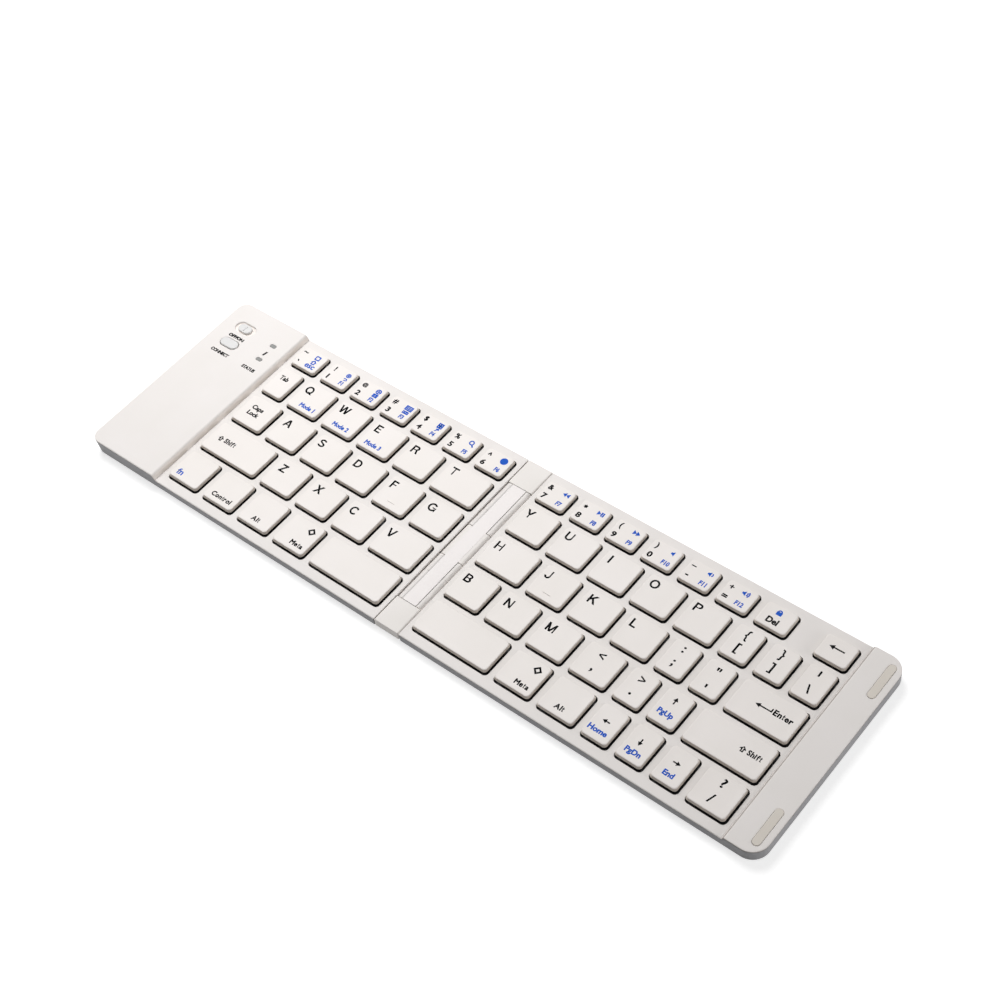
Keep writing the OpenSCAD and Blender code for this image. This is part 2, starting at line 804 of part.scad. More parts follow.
module flex_cable() {
    reach = axis_x + barrel_r / 2;
    color("darkorange")
        translate([-reach, -flex_w / 2, flex_z])
            cube([2 * reach, flex_w, flex_t]);
}

module right_top_case() {
    color("whitesmoke")
        difference() {
            union() {
                lid(right_reach, right_slope_x, right_slope_w, right_block_h, right_corner_r);
                hinge_wall();
                half_barrels();
                bosses(right_screw_places, z_right_top);
            }
            key_openings(right_openings);
            screw_holes(right_screw_places, 0.02);
            pads(pad_depth + 1);
        }
}

module right_bottom_case() {
    color("gray")
        difference() {
            tub(right_reach, right_slope_x, right_slope_w, right_block_h, right_corner_r);
            screw_holes(right_screw_places, fit_gap);
            feet(right_reach, 0.02);
        }
}

module right_key_plate() {
    color("silver")
        key_plate(half_edge + hinge_wall_t + fit_gap, right_slope_x - fit_gap);
}

module right_membrane() {
    color("dimgray")
        membrane(half_edge + hinge_wall_t + 2 * fit_gap, right_slope_x - 2 * fit_gap);
}

module right_rubber_domes() {
    color("lightgray")
        domes(right_openings);
}

module right_scissor_frames() {
    color("white")
        scissors(right_openings);
}

// The two pads on the right raised end, as solids of a given height from their recess floor
module pads(h) {
    for (side = [-1, 1])
        translate([right_reach - pad_x, side * (case_d / 2 - pad_y), z_right_top - pad_depth])
            linear_extrude(h)
                rotate(90)
                    slot(pad_l, pad_w);
}

module bumper_pads() {
    color("tan")
        pads(pad_depth + pad_rise);
}

module right_feet() {
    color("dimgray")
        feet(right_reach, 0);
}

module right_screws() {
    color("silver")
        screws(right_screw_places);
}

module left_number_keys() {
    color("white")
        keycaps(named(left_openings, left_number_names));
}

module left_side_keys() {
    color("white")
        keycaps(named(left_openings, left_side_names));
}

module right_number_keys() {
    color("white")
        keycaps(named(right_openings, right_number_names));
}

module right_side_keys() {
    color("white")
        keycaps(named(right_openings, right_side_names));
}

module single_key(name) {
    place = named(concat(left_openings, right_openings), [name]);
    color("white") {
        keycaps(place);
        if (name == "f" || name == "j")
            key_mark(place[0]);
    }
}

left_top_case();
left_bottom_case();
left_key_plate();
left_membrane();
left_rubber_domes();
left_scissor_frames();
circuit_board();
battery();
charging_socket();
power_slider();
connect_button();
status_lights();
left_feet();
left_screws();
spine();
spine_bar();
left_hinge_pin();
right_hinge_pin();
flex_cable();
right_top_case();
right_bottom_case();
right_key_plate();
right_membrane();
right_rubber_domes();
right_scissor_frames();
bumper_pads();
right_feet();
right_screws();
left_number_keys();
left_side_keys();
right_number_keys();
right_side_keys();
for (name = single_keys)
    single_key(name);
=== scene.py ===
import math

import bmesh
import bpy
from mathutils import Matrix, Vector
from mathutils.geometry import delaunay_2d_cdt


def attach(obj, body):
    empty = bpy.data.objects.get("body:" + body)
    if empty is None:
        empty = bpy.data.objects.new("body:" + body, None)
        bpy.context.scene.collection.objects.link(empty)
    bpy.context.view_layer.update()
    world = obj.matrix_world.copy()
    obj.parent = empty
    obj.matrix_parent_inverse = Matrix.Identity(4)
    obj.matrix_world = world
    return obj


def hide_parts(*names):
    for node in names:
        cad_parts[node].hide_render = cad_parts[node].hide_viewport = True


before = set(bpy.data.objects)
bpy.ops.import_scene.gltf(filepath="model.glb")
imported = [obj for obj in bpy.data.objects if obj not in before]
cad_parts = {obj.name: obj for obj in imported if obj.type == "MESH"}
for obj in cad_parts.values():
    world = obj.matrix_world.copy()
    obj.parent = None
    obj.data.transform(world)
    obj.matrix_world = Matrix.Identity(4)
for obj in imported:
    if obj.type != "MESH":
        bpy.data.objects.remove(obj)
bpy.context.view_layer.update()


# ---- Top cases ---------------------------------------------------------------------------
# The white lids of the two halves: a thin moulded deck with a rounded opening for each key,
# and a raised end behind a soft slope. A low band shows around them over the grey bottom
# cases. Each lid carries the wall and the barrels of its hinge beside the spine.
MM = 0.001
SHARP_ANGLE = math.radians(35)  # edges turned further than this stay sharp
DECK_Z, LID_T, LID_FILLET, BAND = 4.0, 0.9, 0.22, 0.45
CASE_Y, WALL_T, WALL_GAP, INSIDE_Z = 40.75, 1.2, 0.15, 1.3
WALL_X, WALL_W = 5.7, 0.7  # the wall beside the spine
EDGE_X, FLAP_X, FLAP_Y = 5.4, 5.32, 29.15  # the lid's edge there, nearer between the blocks
LIP_X, LIP_DROP = 0.3, 0.15
AXIS_X, AXIS_Z, BARREL_R = 3.6, 2.3, 1.65
MIDDLE_Y, SEAM_Y, BARREL_Y, WEB_Z = 7.5, 15.45, 28.95, 3.05
GROOVE_W, GROOVE_T = 0.3, 0.09
OPENING_R, OPENING_FILLET, OPENING_LEFT = 1.5, 0.12, 0.8
CORNER_STEPS = 9
HALVES = {
    "left": {"side": -1, "reach": 142.7, "corner": 4,
             "foot": 109.35, "slope": 1.85, "rise": 2.1, "shoulder": 2.7},
    "right": {"side": 1, "reach": 142.7, "corner": 6,
              "foot": 130.2, "slope": 1.1, "rise": 1.2, "shoulder": 2.1},
}


def top_z(half, x):
    """Height of a half's top at a distance x from the spine: a tight foot, a round shoulder."""
    u = min(max(1 - (abs(x) - half["foot"]) / half["slope"], 0), 1)
    return DECK_Z + half["rise"] * (1 - u ** half["shoulder"])


def lid_z(half, x):
    """The same with the fine crease before the slope."""
    before = min(max((half["foot"] - abs(x)) / GROOVE_W, 0), 1)
    return top_z(half, x) - GROOVE_T * math.sin(math.pi * before)


def arc(cx, cy, r, start, steps=CORNER_STEPS, sweep=90):
    """Points of an arc from its start angle, in degrees."""
    return [
        (cx + r * math.cos(math.radians(start + sweep * n / steps)),
         cy + r * math.sin(math.radians(start + sweep * n / steps)))
        for n in range(steps + 1)
    ]


def circle(cx, cy, r, steps=40):
    return arc(cx, cy, r, 0, steps, 360)[:-1]


def round_rect(x0, x1, y0, y1, r, grow=0, steps=CORNER_STEPS):
    """A rectangle with round corners, grown by a margin."""
    x0, x1, y0, y1, r = x0 - grow, x1 + grow, y0 - grow, y1 + grow, max(r + grow, 0.01)
    return (arc(x0 + r, y0 + r, r, 180, steps) + arc(x1 - r, y0 + r, r, 270, steps)
            + arc(x1 - r, y1 - r, r, 0, steps) + arc(x0 + r, y1 - r, r, 90, steps))


def bends_of(half):
    """Places along the groove and the slope at which a half's plan has points."""
    return ([half["foot"] - GROOVE_W * n / 4 for n in (4, 3, 2, 1)]
            + [half["foot"] + half["slope"] * n / 10 for n in range(11)])


def half_outline(half, inset, edge, flap=None, steps=12):
    """Plan of a half: straight at the spine, round at its end, with points along the slope.
    A flap reaches closer to the spine between its end blocks."""
    x, y, r = half["reach"] - inset, CASE_Y - inset, half["corner"] - inset
    front = [edge] + bends_of(half)
    points = ([(px, -y) for px in front] + arc(x - r, -y + r, r, 270, steps)
              + arc(x - r, y - r, r, 0, steps) + [(px, y) for px in reversed(front)])
    if flap:
        points += [(edge, FLAP_Y), (flap, FLAP_Y), (flap, -FLAP_Y), (edge, -FLAP_Y)]
    return [(half["side"] * px, py) for px, py in points]


def inside(point, ring):
    """Whether a point lies inside a closed ring, by the edges that it has to its right."""
    x, y = point
    found = False
    for (ax, ay), (bx, by) in zip(ring, ring[1:] + ring[:1]):
        if (ay > y) != (by > y) and x < (bx - ax) * (y - ay) / (by - ay) + ax:
            found = not found
    return found


def set_out(name, data):
    """A new object in the scene."""
    made = bpy.data.objects.new(name, data)
    bpy.context.scene.collection.objects.link(made)
    return made


class Skin:
    """The faces of one piece, gathered in millimetres before they become its mesh."""

    def __init__(self):
        self.points, self.faces = [], []

    def ring(self, points, z=None):
        """Adds points, in the plan with one height or a height for each place, or in space."""
        start = len(self.points)
        for p in points:
            if z is not None:
                p = (*p, z(*p) if callable(z) else z)
            self.points.append(tuple(p))
        return list(range(start, len(self.points)))

    def join(self, rings, closed=True):
        """Bands of faces from each ring to the next one."""
        for a, b in zip(rings, rings[1:]):
            for n in range(len(a) if closed else len(a) - 1):
                m = (n + 1) % len(a)
                self.faces.append((a[n], a[m], b[m], b[n]))

    def close(self, rings):
        """The same with flat ends."""
        self.join(rings)
        self.faces += [tuple(reversed(rings[0])), tuple(rings[-1])]

    def loft(self, rings):
        """A closed body from rings of points in space."""
        self.close([self.ring(points) for points in rings])

    def column(self, plan, levels):
        """A closed upright body from its plan at each (growth, height)."""
        self.close([self.ring(plan(grow), z) for grow, z in levels])

    def fill(self, outer, holes=(), lines=()):
        """Triangles between an outer ring and the rings of its holes, seen from above, with
        edges along the lines."""
        used = list(outer) + [i for hole in holes for i in hole]
        place = {i: n for n, i in enumerate(used)}
        flat = [Vector(self.points[i][:2]) for i in used]
        edges = [(place[a], place[b]) for ring in (outer, *holes)
                 for a, b in zip(ring, list(ring[1:]) + [ring[0]])]
        edges += [(place[a], place[b]) for a, b in lines]
        out = delaunay_2d_cdt(flat, edges, [], 0, 1e-7)
        back = [used[origin[0]] for origin in out[3]]
        outline, *gaps = [[self.points[i][:2] for i in ring] for ring in (outer, *holes)]
        bounds = [[pick(p[n] for p in gap) for n in (0, 1) for pick in (min, max)]
                  for gap in gaps]
        for tri in out[2]:
            mid = sum((out[0][i] for i in tri), Vector((0, 0))) / 3
            if inside(mid, outline) and not any(
                    x0 < mid.x < x1 and y0 < mid.y < y1 and inside(mid, gap)
                    for (x0, x1, y0, y1), gap in zip(bounds, gaps)):
                self.faces.append(tuple(back[i] for i in tri))

    def piece(self, name):
        """The finished object, shaded softly between its sharp edges."""
        mesh = bpy.data.meshes.new(name)
        mesh.from_pydata([[c * MM for c in p] for p in self.points], [], self.faces)
        work = bmesh.new()
        work.from_mesh(mesh)
        bmesh.ops.recalc_face_normals(work, faces=work.faces)
        for face in work.faces:
            face.smooth = True
        work.to_mesh(mesh)
        work.free()
        mesh.set_sharp_from_angle(angle=SHARP_ANGLE)
        made = set_out(name, mesh)
        made.modifiers.new("weighted normals", "WEIGHTED_NORMAL").keep_sharp = True
        return made


def fillet(radius, steps=4):
    """Insets and drops of a rounded edge, from the flat face over to the side."""
    return [(radius * (1 - math.sin(math.pi / 2 * n / steps)),
             radius * (1 - math.cos(math.pi / 2 * n / steps))) for n in range(steps + 1)]


def slot_ring(cx, cy, length, width, grow=0, along_x=True, steps=8):
    """A bar with round ends, in the plan."""
    h, r = (length - width) / 2, width / 2 + grow
    if along_x:
        return arc(cx + h, cy, r, -90, 2 * steps, 180) + arc(cx - h, cy, r, 90, 2 * steps, 180)
    return arc(cx, cy + h, r, 0, 2 * steps, 180) + arc(cx, cy - h, r, 180, 2 * steps, 180)


# Openings of the keys, from the same spacings as the construction
LETTER, NARROW, INNER, HOME, ROW = 17, 12.9, 21.4, 21.25, 16
KEY_BAR, ROW_DEPTH, NUMBER_DEPTH, FRONT = 1.6, 14.2, 10.4, 3.7
FIELDS = {"left": (-109.2, 102), "right": (4.9, 123.7)}
NUMBER = FIELDS["left"][1] / 7
KEY_ROWS = {
    "left": [
        [("fn", LETTER), ("control", LETTER), ("left_alt", LETTER), ("left_meta", LETTER),
         ("left_space", 0)],
        [("left_shift", 0), ("z", LETTER), ("x", LETTER), ("c", LETTER), ("v", INNER)],
        [("caps_lock", 0)] + [(k, LETTER) for k in "asdfg"],
        [("tab", 0)] + [(k, LETTER) for k in "qwer"] + [("t", INNER)],
        [(k, NUMBER) for k in "escape 1 2 3 4 5 6".split()],
    ],
    "right": [
        [("right_space", 2 * LETTER), ("right_meta", LETTER), ("right_alt", LETTER),
         ("arrow_left", NARROW), ("arrow_down", NARROW), ("arrow_right", NARROW), ("slash", 0)],
        [(k, LETTER) for k in ("b", "n", "m", "comma")]
        + [("period", NARROW), ("arrow_up", NARROW), ("right_shift", 0)],
        [("h", HOME), ("j", LETTER), ("k", LETTER), ("l", LETTER), ("semicolon", NARROW),
         ("quote", NARROW), ("enter", 0)],
        [(k, LETTER) for k in "yuiop"] + [("left_bracket", NARROW), ("right_bracket", NARROW),
                                          ("backslash", 0)],
        [(k, NUMBER) for k in "7 8 9 0 minus equals delete".split()]
        + [(None, 0), ("backspace", NUMBER)],
    ],
}
OPENINGS = {"left": {}, "right": {}}
for side, rows in KEY_ROWS.items():
    start, width = FIELDS[side]
    for n, row in enumerate(rows):
        rest = width - sum(pitch for _, pitch in row)
        x, y = start, FRONT - CASE_Y + n * ROW
        for key, pitch in row:
            pitch = pitch or rest
            if key:
                depth = NUMBER_DEPTH if n == 4 else ROW_DEPTH
                OPENINGS[side][key] = (x + KEY_BAR, x + pitch, y, y + depth)
            x += pitch

# Places of the controls in the left raised end and of the pads on the right one
LEFT_TOP = 6.1
SLIDER_MID, RECESS, RECESS_DEPTH = (-132.2, 30.3), (9.2, 5), 0.6
STEM_MID, STEM_SLOT = (-131.55, 30.3), (3.5, 1.5)
BUTTON_MID, BUTTON, BUTTON_GAP = (-132.2, 21.5), (8.0, 4.0), 0.22
LIGHT_MIDS = [(-117.0, 29.5), (-117.0, 21.75)]
WINDOW, WINDOW_R, WINDOW_GAP = (1.38, 0.78), 0.6, 0.03
PAD_MIDS, PAD, PAD_GAP, PAD_BED = [(139.15, -30.4), (139.15, 30.75)], (14.3, 2.7), 0.1, 0.45


def window(cx, cy, grow):
    """Plan of a light window, grown by a margin."""
    w, d = WINDOW
    return round_rect(cx - w, cx + w, cy - d, cy + d, WINDOW_R, grow, 5)


def barrel(skin, side, levels):
    """A barrel about the hinge axis of one side, through its (place, radius) levels."""
    skin.loft([[(x, y, z) for x, z in circle(side * AXIS_X, AXIS_Z, r, 36)]
               for y, r in levels])


def lid(name):
    half = HALVES[name]
    side = half["side"]
    skin = Skin()
    below = lambda drop: lambda x, y: top_z(half, x) - drop
    rings = [skin.ring(half_outline(half, inset, EDGE_X + inset * 0.5, FLAP_X + inset * 0.9),
                       lambda x, y: lid_z(half, x) - drop) for inset, drop in fillet(LID_FILLET)]
    inner = WALL_T + WALL_GAP
    for inset, lip, drop in ((0, 0, BAND), (inner, LIP_X, BAND), (inner, LIP_X, LID_T)):
        outline = half_outline(half, inset, EDGE_X + lip, FLAP_X + lip * 1.25)
        deeper = LIP_DROP if drop < LID_T else 0
        rings.append(skin.ring(outline, lambda x, y: top_z(half, x) - drop
                               - (deeper if abs(x) < EDGE_X else 0)))
    skin.join(rings)
    tops, bottoms = [], []

    def sink(plan, levels, through=True):
        """A hole or a recess in the deck, down its (growth, drop) levels."""
        stack = [skin.ring(plan(grow), below(drop)) for grow, drop in levels]
        skin.join(stack)
        tops.append(stack[0])
        if through:
            bottoms.append(stack[-1])
        return stack[-1]

    for x0, x1, y0, y1 in OPENINGS[name].values():
        sink(lambda grow: round_rect(x0 + OPENING_LEFT, x1, y0, y1, OPENING_R, grow),
             fillet(OPENING_FILLET) + [(0, LID_T)])
    if name == "left":
        sink(lambda grow: slot_ring(*BUTTON_MID, *BUTTON, BUTTON_GAP + grow),
             fillet(0.15) + [(0, LID_T)])
        for mid in LIGHT_MIDS:
            sink(lambda grow: window(*mid, WINDOW_GAP + grow), fillet(0.06) + [(0, LID_T)])
        # The dished recess of the slider, with a hidden slot for its stem
        dish = sink(lambda grow: slot_ring(*SLIDER_MID, *RECESS, grow),
                    ((0.3, 0), (0.16, 0.04), (0.05, 0.13), (-0.03, 0.27), (-0.1, 0.42),
                     (-0.18, 0.54), (-0.32, RECESS_DEPTH)), False)
        floor = LEFT_TOP - RECESS_DEPTH
        stem = [skin.ring(slot_ring(*STEM_MID, *STEM_SLOT), z) for z in (floor, floor - LID_T)]
        skin.fill(dish, [stem[0]])
        skin.join(stem)
        under = [skin.ring(slot_ring(*SLIDER_MID, *RECESS, 1), z)
                 for z in (floor - LID_T, LEFT_TOP - LID_T)]
        skin.fill(under[0], [stem[1]])
        skin.join(under)
        bottoms.append(under[1])
    else:
        for mid in PAD_MIDS:
            bed = sink(lambda grow: slot_ring(*mid, *PAD, PAD_GAP + grow, False),
                       fillet(0.05) + [(0, PAD_BED)], False)
            skin.faces.append(tuple(bed))
    last = len(rings[0]) - 6  # across the slope from the first bend
    for ring, holes in ((rings[0], tops), (rings[-1], bottoms)):
        skin.fill(ring, holes, [(ring[1 + n], ring[last - n])
                                for n in range(len(bends_of(half)))])
    # The wall beside the spine, and the barrels of the hinge on their web
    wall = CASE_Y - inner
    box = lambda x0, x1, y0, y1, top: skin.loft(
        [[(side * x0, y0, z), (side * x1, y0, z), (side * x1, y1, z), (side * x0, y1, z)]
         for z in (INSIDE_Z, top)])
    box(WALL_X, WALL_X + WALL_W, -wall, wall, DECK_Z - LID_T)
    for sign in (-1, 1):
        box(AXIS_X, WALL_X + 0.1, *sorted((sign * MIDDLE_Y, sign * BARREL_Y)), WEB_Z)
        barrel(skin, side, [(sign * y, BARREL_R - cut) for y, cut in (
            (MIDDLE_Y - 0.1, 0.15), (MIDDLE_Y, 0), (SEAM_Y - 0.1, 0), (SEAM_Y - 0.03, 0.1),
            (SEAM_Y + 0.03, 0.1), (SEAM_Y + 0.1, 0), (BARREL_Y, 0), (BARREL_Y + 0.1, 0.15))])
    return skin.piece(name + "_lid")


def paint(r, g, b):
    """A colour given as screen values, as the shaders want it."""
    return tuple((c / 255 / 12.92 if c < 10.3 else ((c / 255 + 0.055) / 1.055) ** 2.4)
                 for c in (r, g, b)) + (1,)


class Wire:
    """A value in a node tree; arithmetic on it adds Math nodes."""

    def __init__(self, nodes, socket):
        self.nodes, self.socket = nodes, socket

    def out(self, name):
        return Wire(self.nodes, self.socket.node.outputs[name])

    def maths(self, operation, first, second):
        return self.nodes.node("ShaderNodeMath", {"operation": operation},
                               {0: first, 1: second})

    def top(self, other):
        return self.maths("MAXIMUM", self, other)

    def __add__(self, other):
        return self.maths("ADD", self, other)

    def __sub__(self, other):
        return self.maths("SUBTRACT", self, other)

    def __rsub__(self, other):
        return self.maths("SUBTRACT", other, self)

    def __mul__(self, other):
        return self.maths("MULTIPLY", self, other)

    __radd__ = __add__
    __rmul__ = __mul__


class Nodes:
    """A node tree, with one way to make any node."""

    def __init__(self, tree):
        self.tree = tree

    def node(self, kind, settings=None, inputs=None, output=0):
        made = self.tree.nodes.new(kind)
        for name, value in (settings or {}).items():
            if name == "stops":
                ramp = made.color_ramp
                while len(ramp.elements) < len(value):
                    ramp.elements.new(1)
                for element, (position, colour) in zip(ramp.elements, value):
                    element.position, element.color = position, colour
            else:
                setattr(made, name, value)
        for name, value in (inputs or {}).items():
            self.feed(made.inputs[name], value)
        return Wire(self, made.outputs[output])

    def feed(self, socket, value):
        if isinstance(value, Wire):
            self.tree.links.new(value.socket, socket)
        else:
            socket.default_value = value

    def mix(self, factor, *colours):
        """Two colours mixed, each one a value or three screen values."""
        a, b = (c if isinstance(c, Wire) else paint(*c) for c in colours)
        return self.node("ShaderNodeMix", {"data_type": "RGBA"}, {0: factor, 6: a, 7: b}, 2)


class Finish(Nodes):
    """A material whose nodes end in one Principled shader."""

    def __init__(self, name, **fixed):
        self.material = bpy.data.materials.new(name)
        self.material.use_nodes = True
        super().__init__(self.material.node_tree)
        self.shader = self.tree.nodes["Principled BSDF"]
        for socket, value in fixed.items():
            self.shader.inputs[socket.replace("_", " ")].default_value = value
        self.place = self.node("ShaderNodeTexCoord", output="Object")

    def noise(self, size, detail, rough=0.5):
        """Noise with grains of a size in millimetres."""
        return self.node("ShaderNodeTexNoise", {}, {
            "Vector": self.place, "Scale": 1 / (size * MM), "Detail": detail,
            "Roughness": rough})

    def ramp(self, value, *stops):
        grey = [(at, (v, v, v, 1)) for at, v in stops]
        return self.node("ShaderNodeValToRGB", {"stops": grey}, {0: value})

    def above(self, low, high):
        """Rises from 0 to 1 between two heights of the piece, in millimetres."""
        z = self.node("ShaderNodeSeparateXYZ", {}, {0: self.place}, "Z")
        return self.node("ShaderNodeMapRange", {"interpolation_type": "SMOOTHSTEP"}, {
            "Value": z, "From Min": low * MM, "From Max": high * MM})

    def set(self, **sockets):
        for name, value in sockets.items():
            self.feed(self.shader.inputs[name.replace("_", " ")], value)

    def bump(self, height, depth):
        """Relief of a depth in millimetres."""
        self.set(Normal=self.node("ShaderNodeBump", {}, {
            "Height": height, "Distance": depth * MM, "Strength": 1.0}))


def moulded(name, colour, tint, rough, grain, depth, under=None, **fixed):
    """Moulded plastic: a slow drift of colour, and the mould's fine grain as relief and gloss.
    Painted shading may change its colour to another one below some height, and above another."""
    finish = Finish(name, **fixed)
    drift = finish.noise(22, 3)
    grit = finish.noise(grain, 3, 0.6)
    base = finish.mix(finish.ramp(drift, (0.35, 0), (0.7, 1)), colour, tint)
    # Painted light and shade: another colour below a height and, given a foot, only above that foot
    # as well
    if under:
        painted_shading, low, high, *foot = under
        clear = finish.above(low, high)
        if foot:
            clear = clear.top(1 - finish.above(*foot))
        base = finish.mix(clear, painted_shading, base)
    finish.set(Base_Color=base, Roughness=rough + (grit - 0.5) * 0.14)
    finish.bump(grit, depth)
    return finish.material


def dress(piece, body, material, slot, *nodes):
    """Gives a piece its body and material, and the construction's nodes it stands for. The slot is
    not used.
    """
    piece.data.materials.append(material)
    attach(piece, body)
    if nodes:
        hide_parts(*nodes)
    return piece


# Painted light and shade on the slope up to each raised end, between its foot and its shoulder:
# lighter on the left lid, darker in the right lid's crease, so the two lids get lit and shaded
# copies of one white finish
SLOPE_SHADING_FOOT = (4.02, 4.2)
for name, colour, *shoulder in (("left", (252, 243, 236), 5.3, 6.05),
                                ("right", (166, 158, 152), 4.9, 5.19)):
    white_case = moulded(name + "_white_case", (238, 233, 230), (235, 230, 226), 0.5, 0.35,
                         0.012, (colour, *shoulder, *SLOPE_SHADING_FOOT), Specular_IOR_Level=0.4)
    dress(lid(name), name + "_half", white_case, "white_case", name + "_top_case")


# ---- Bottom cases ------------------------------------------------------------------------
# Grey tubs with thin walls at the front, the back and the ends, open beside the spine. Their
# rounded lower edges stand clear of the table, and a fine seam divides them from the lids.
BASE_Z, TUB_FILLET = 0.4, 0.25
TAPER = {"left": 1.1, "right": 0}
SEAM, RIM_EDGE = 0.22, 0.08
FOOT_R, FOOT_BED = 4, 0.2
FEET = [(x, y) for x in (15.75, 132.7) for y in (-32.75, 32.75)]
SCREW_R, SCREW_BED = 1.45, 0.9
SCREWS = {"left": [(-138.1, 36.15), (-112.6, 36.15)], "right": [(138.1, 36.15), (138.1, 13.58)]}
SOCKET_Y, SOCKET_Z, SOCKET_R = (8.4, 16.2), (2.25, 5.05), 1.1


def tub(name):
    half = HALVES[name]
    foot = dict(half, reach=half["reach"] - TAPER[name])
    skin = Skin()
    ring = lambda its, inset, z: skin.ring(half_outline(its, inset, WALL_X), z)
    rim = lambda drop: lambda x, y: top_z(half, x) - BAND - SEAM - drop
    outer = [ring(half, RIM_EDGE, rim(0)), ring(half, 0, rim(RIM_EDGE))]
    outer += [ring(foot, inset, BASE_Z + up) for inset, up in reversed(fillet(TUB_FILLET, 6))]
    inner = [ring(half, WALL_T, rim(0)), ring(foot, WALL_T, INSIDE_Z)]
    skin.join(outer, False)
    skin.join([outer[0], *inner], False)
    skin.faces.append(tuple(
        [ring[0] for ring in outer[::-1]] + [inner[0][0], inner[1][0], inner[1][-1],
                                             inner[0][-1]] + [ring[-1] for ring in outer]))
    under, over = [], []

    def sink(x, y, r, levels):
        """A round hole in the underside, through its (growth, height) levels."""
        stack = [skin.ring(circle(x, y, r + grow), BASE_Z + up) for grow, up in levels]
        skin.join(stack)
        under.append(stack[0])
        return stack[-1]

    for x, y in FEET:
        bed = sink(half["side"] * x, y, FOOT_R + 0.02, fillet(0.06, 2) + [(0, FOOT_BED)])
        skin.faces.append(tuple(bed))
    for x, y in SCREWS[name]:
        for sign in (1, -1):
            over.append(sink(x, sign * y, SCREW_R, fillet(0.1, 2) + [(0, SCREW_BED)]))
    skin.fill(outer[-1], under)
    skin.fill(inner[1], over)
    return skin.piece(name + "_tub")


grey_case = moulded("grey_case", (165, 164, 166), (159, 158, 161), 0.55, 0.3, 0.016,
                    Specular_IOR_Level=0.4)
left_tub = tub("left")
skin = Skin()
skin.loft([[(x, y, z) for y, z in round_rect(*SOCKET_Y, *SOCKET_Z, SOCKET_R)]
           for x in (-143.7, -141.2)])
socket_cut = skin.piece("socket_cut")
carve = left_tub.modifiers.new("socket opening", "BOOLEAN")
carve.object, carve.solver = socket_cut, "EXACT"
bpy.context.view_layer.objects.active = left_tub
bpy.ops.object.modifier_move_to_index(modifier=carve.name, index=0)
bpy.ops.object.modifier_apply(modifier=carve.name)
bpy.data.objects.remove(socket_cut)
dress(left_tub, "left_half", grey_case, "grey_case", "left_bottom_case")
dress(tub("right"), "right_half", grey_case, "grey_case", "right_bottom_case")


# ---- Keycaps -----------------------------------------------------------------------------
# Low moulded caps with sloping sides, a rounded edge and a slightly dished top, each on its
# own body where it moves alone. The caps of the number rows and of the outer keys move as
# groups. Small raised bars mark the F and J keys.
KEY_GAP, MORE_LEFT, LESS_BACK = 0.65, 0.2, 0.45  # space around a cap, unlike at two sides
KEY_FOOT, KEY_WAIST, KEY_TOP, KEY_R = 4.2, 4.6, 5.35, 1.1
KEY_DRAFT, KEY_EDGE, KEY_CHAMFER = 0.5, 0.32, 0.08
KEY_DISH, DISH_RIM = 0.05, 2.2
KEY_WALL, HOLLOW_R = 0.8, 0.4
MARK, MARK_UP = (3.2, 0.4), 3.0
GROUPS = {
    "left_number_keys": "escape 1 2 3 4 5 6".split(),
    "left_side_keys": "tab caps_lock left_shift fn control left_alt left_meta".split(),
    "right_number_keys": "7 8 9 0 minus equals delete backspace".split(),
    "right_side_keys": ("left_bracket right_bracket backslash semicolon quote enter comma "
                        "period arrow_up right_shift right_meta right_alt arrow_left "
                        "arrow_down arrow_right slash").split(),
}
KEYS = {key: box for side in OPENINGS.values() for key, box in side.items()}
GROUPED = {key for names in GROUPS.values() for key in names}
SINGLE = [key for key in KEYS if key not in GROUPED]


def foot_of(key):
    """Bounds of a keycap's foot inside its opening."""
    x0, x1, y0, y1 = KEYS[key]
    return x0 + KEY_GAP + MORE_LEFT, x1 - KEY_GAP, y0 + KEY_GAP, y1 - KEY_GAP + LESS_BACK


def key_surface(key):
    """Height of a key's top at a place on it: flat in the middle, rising to its rim."""
    x0, x1, y0, y1 = foot_of(key)

    def height(x, y):
        margin = min(x - x0, x1 - x, y - y0, y1 - y) - KEY_DRAFT
        t = min(max(margin / DISH_RIM, 0), 1)
        return KEY_TOP - KEY_DISH * t * t * (3 - 2 * t)

    return height


def keycap(skin, key):
    foot = foot_of(key)
    ring = lambda inset, r, z: skin.ring(round_rect(*foot, r + inset, -inset), z)
    side = KEY_DRAFT - KEY_EDGE * 0.7
    stack = [ring(KEY_CHAMFER, KEY_R, KEY_FOOT), ring(0, KEY_R + 0.1, KEY_FOOT + KEY_CHAMFER),
             ring(side / 2, KEY_R + 0.05, KEY_WAIST), ring(side, KEY_R, KEY_TOP - KEY_EDGE)]
    for n in range(1, 6):
        a = math.pi / 2 * n / 5
        stack.append(ring(side + (KEY_DRAFT - side) * (1 - math.cos(a)), KEY_R,
                          KEY_TOP - KEY_EDGE * (1 - math.sin(a))))
    for n in range(1, 8):
        inner = DISH_RIM * n / 7
        stack.append(ring(KEY_DRAFT + inner, max(KEY_R - inner * 0.4, 0.1), key_surface(key)))
    skin.join(stack)
    skin.fill(stack[-1])
    hollow = [ring(KEY_WALL, HOLLOW_R, z) for z in (KEY_FOOT, KEY_TOP - KEY_WALL)]
    skin.join([stack[0], *hollow])
    skin.faces.append(tuple(hollow[1]))


def key_mark(skin, key):
    """The low bar that a finger finds on F and J."""
    x0, x1, y0, _ = KEYS[key]
    skin.column(lambda grow: slot_ring((x0 + x1) / 2, y0 + KEY_GAP + MARK_UP, *MARK, grow),
                ((0, 5.1), (0, 5.4), (-0.05, 5.45), (-0.12, 5.47)))
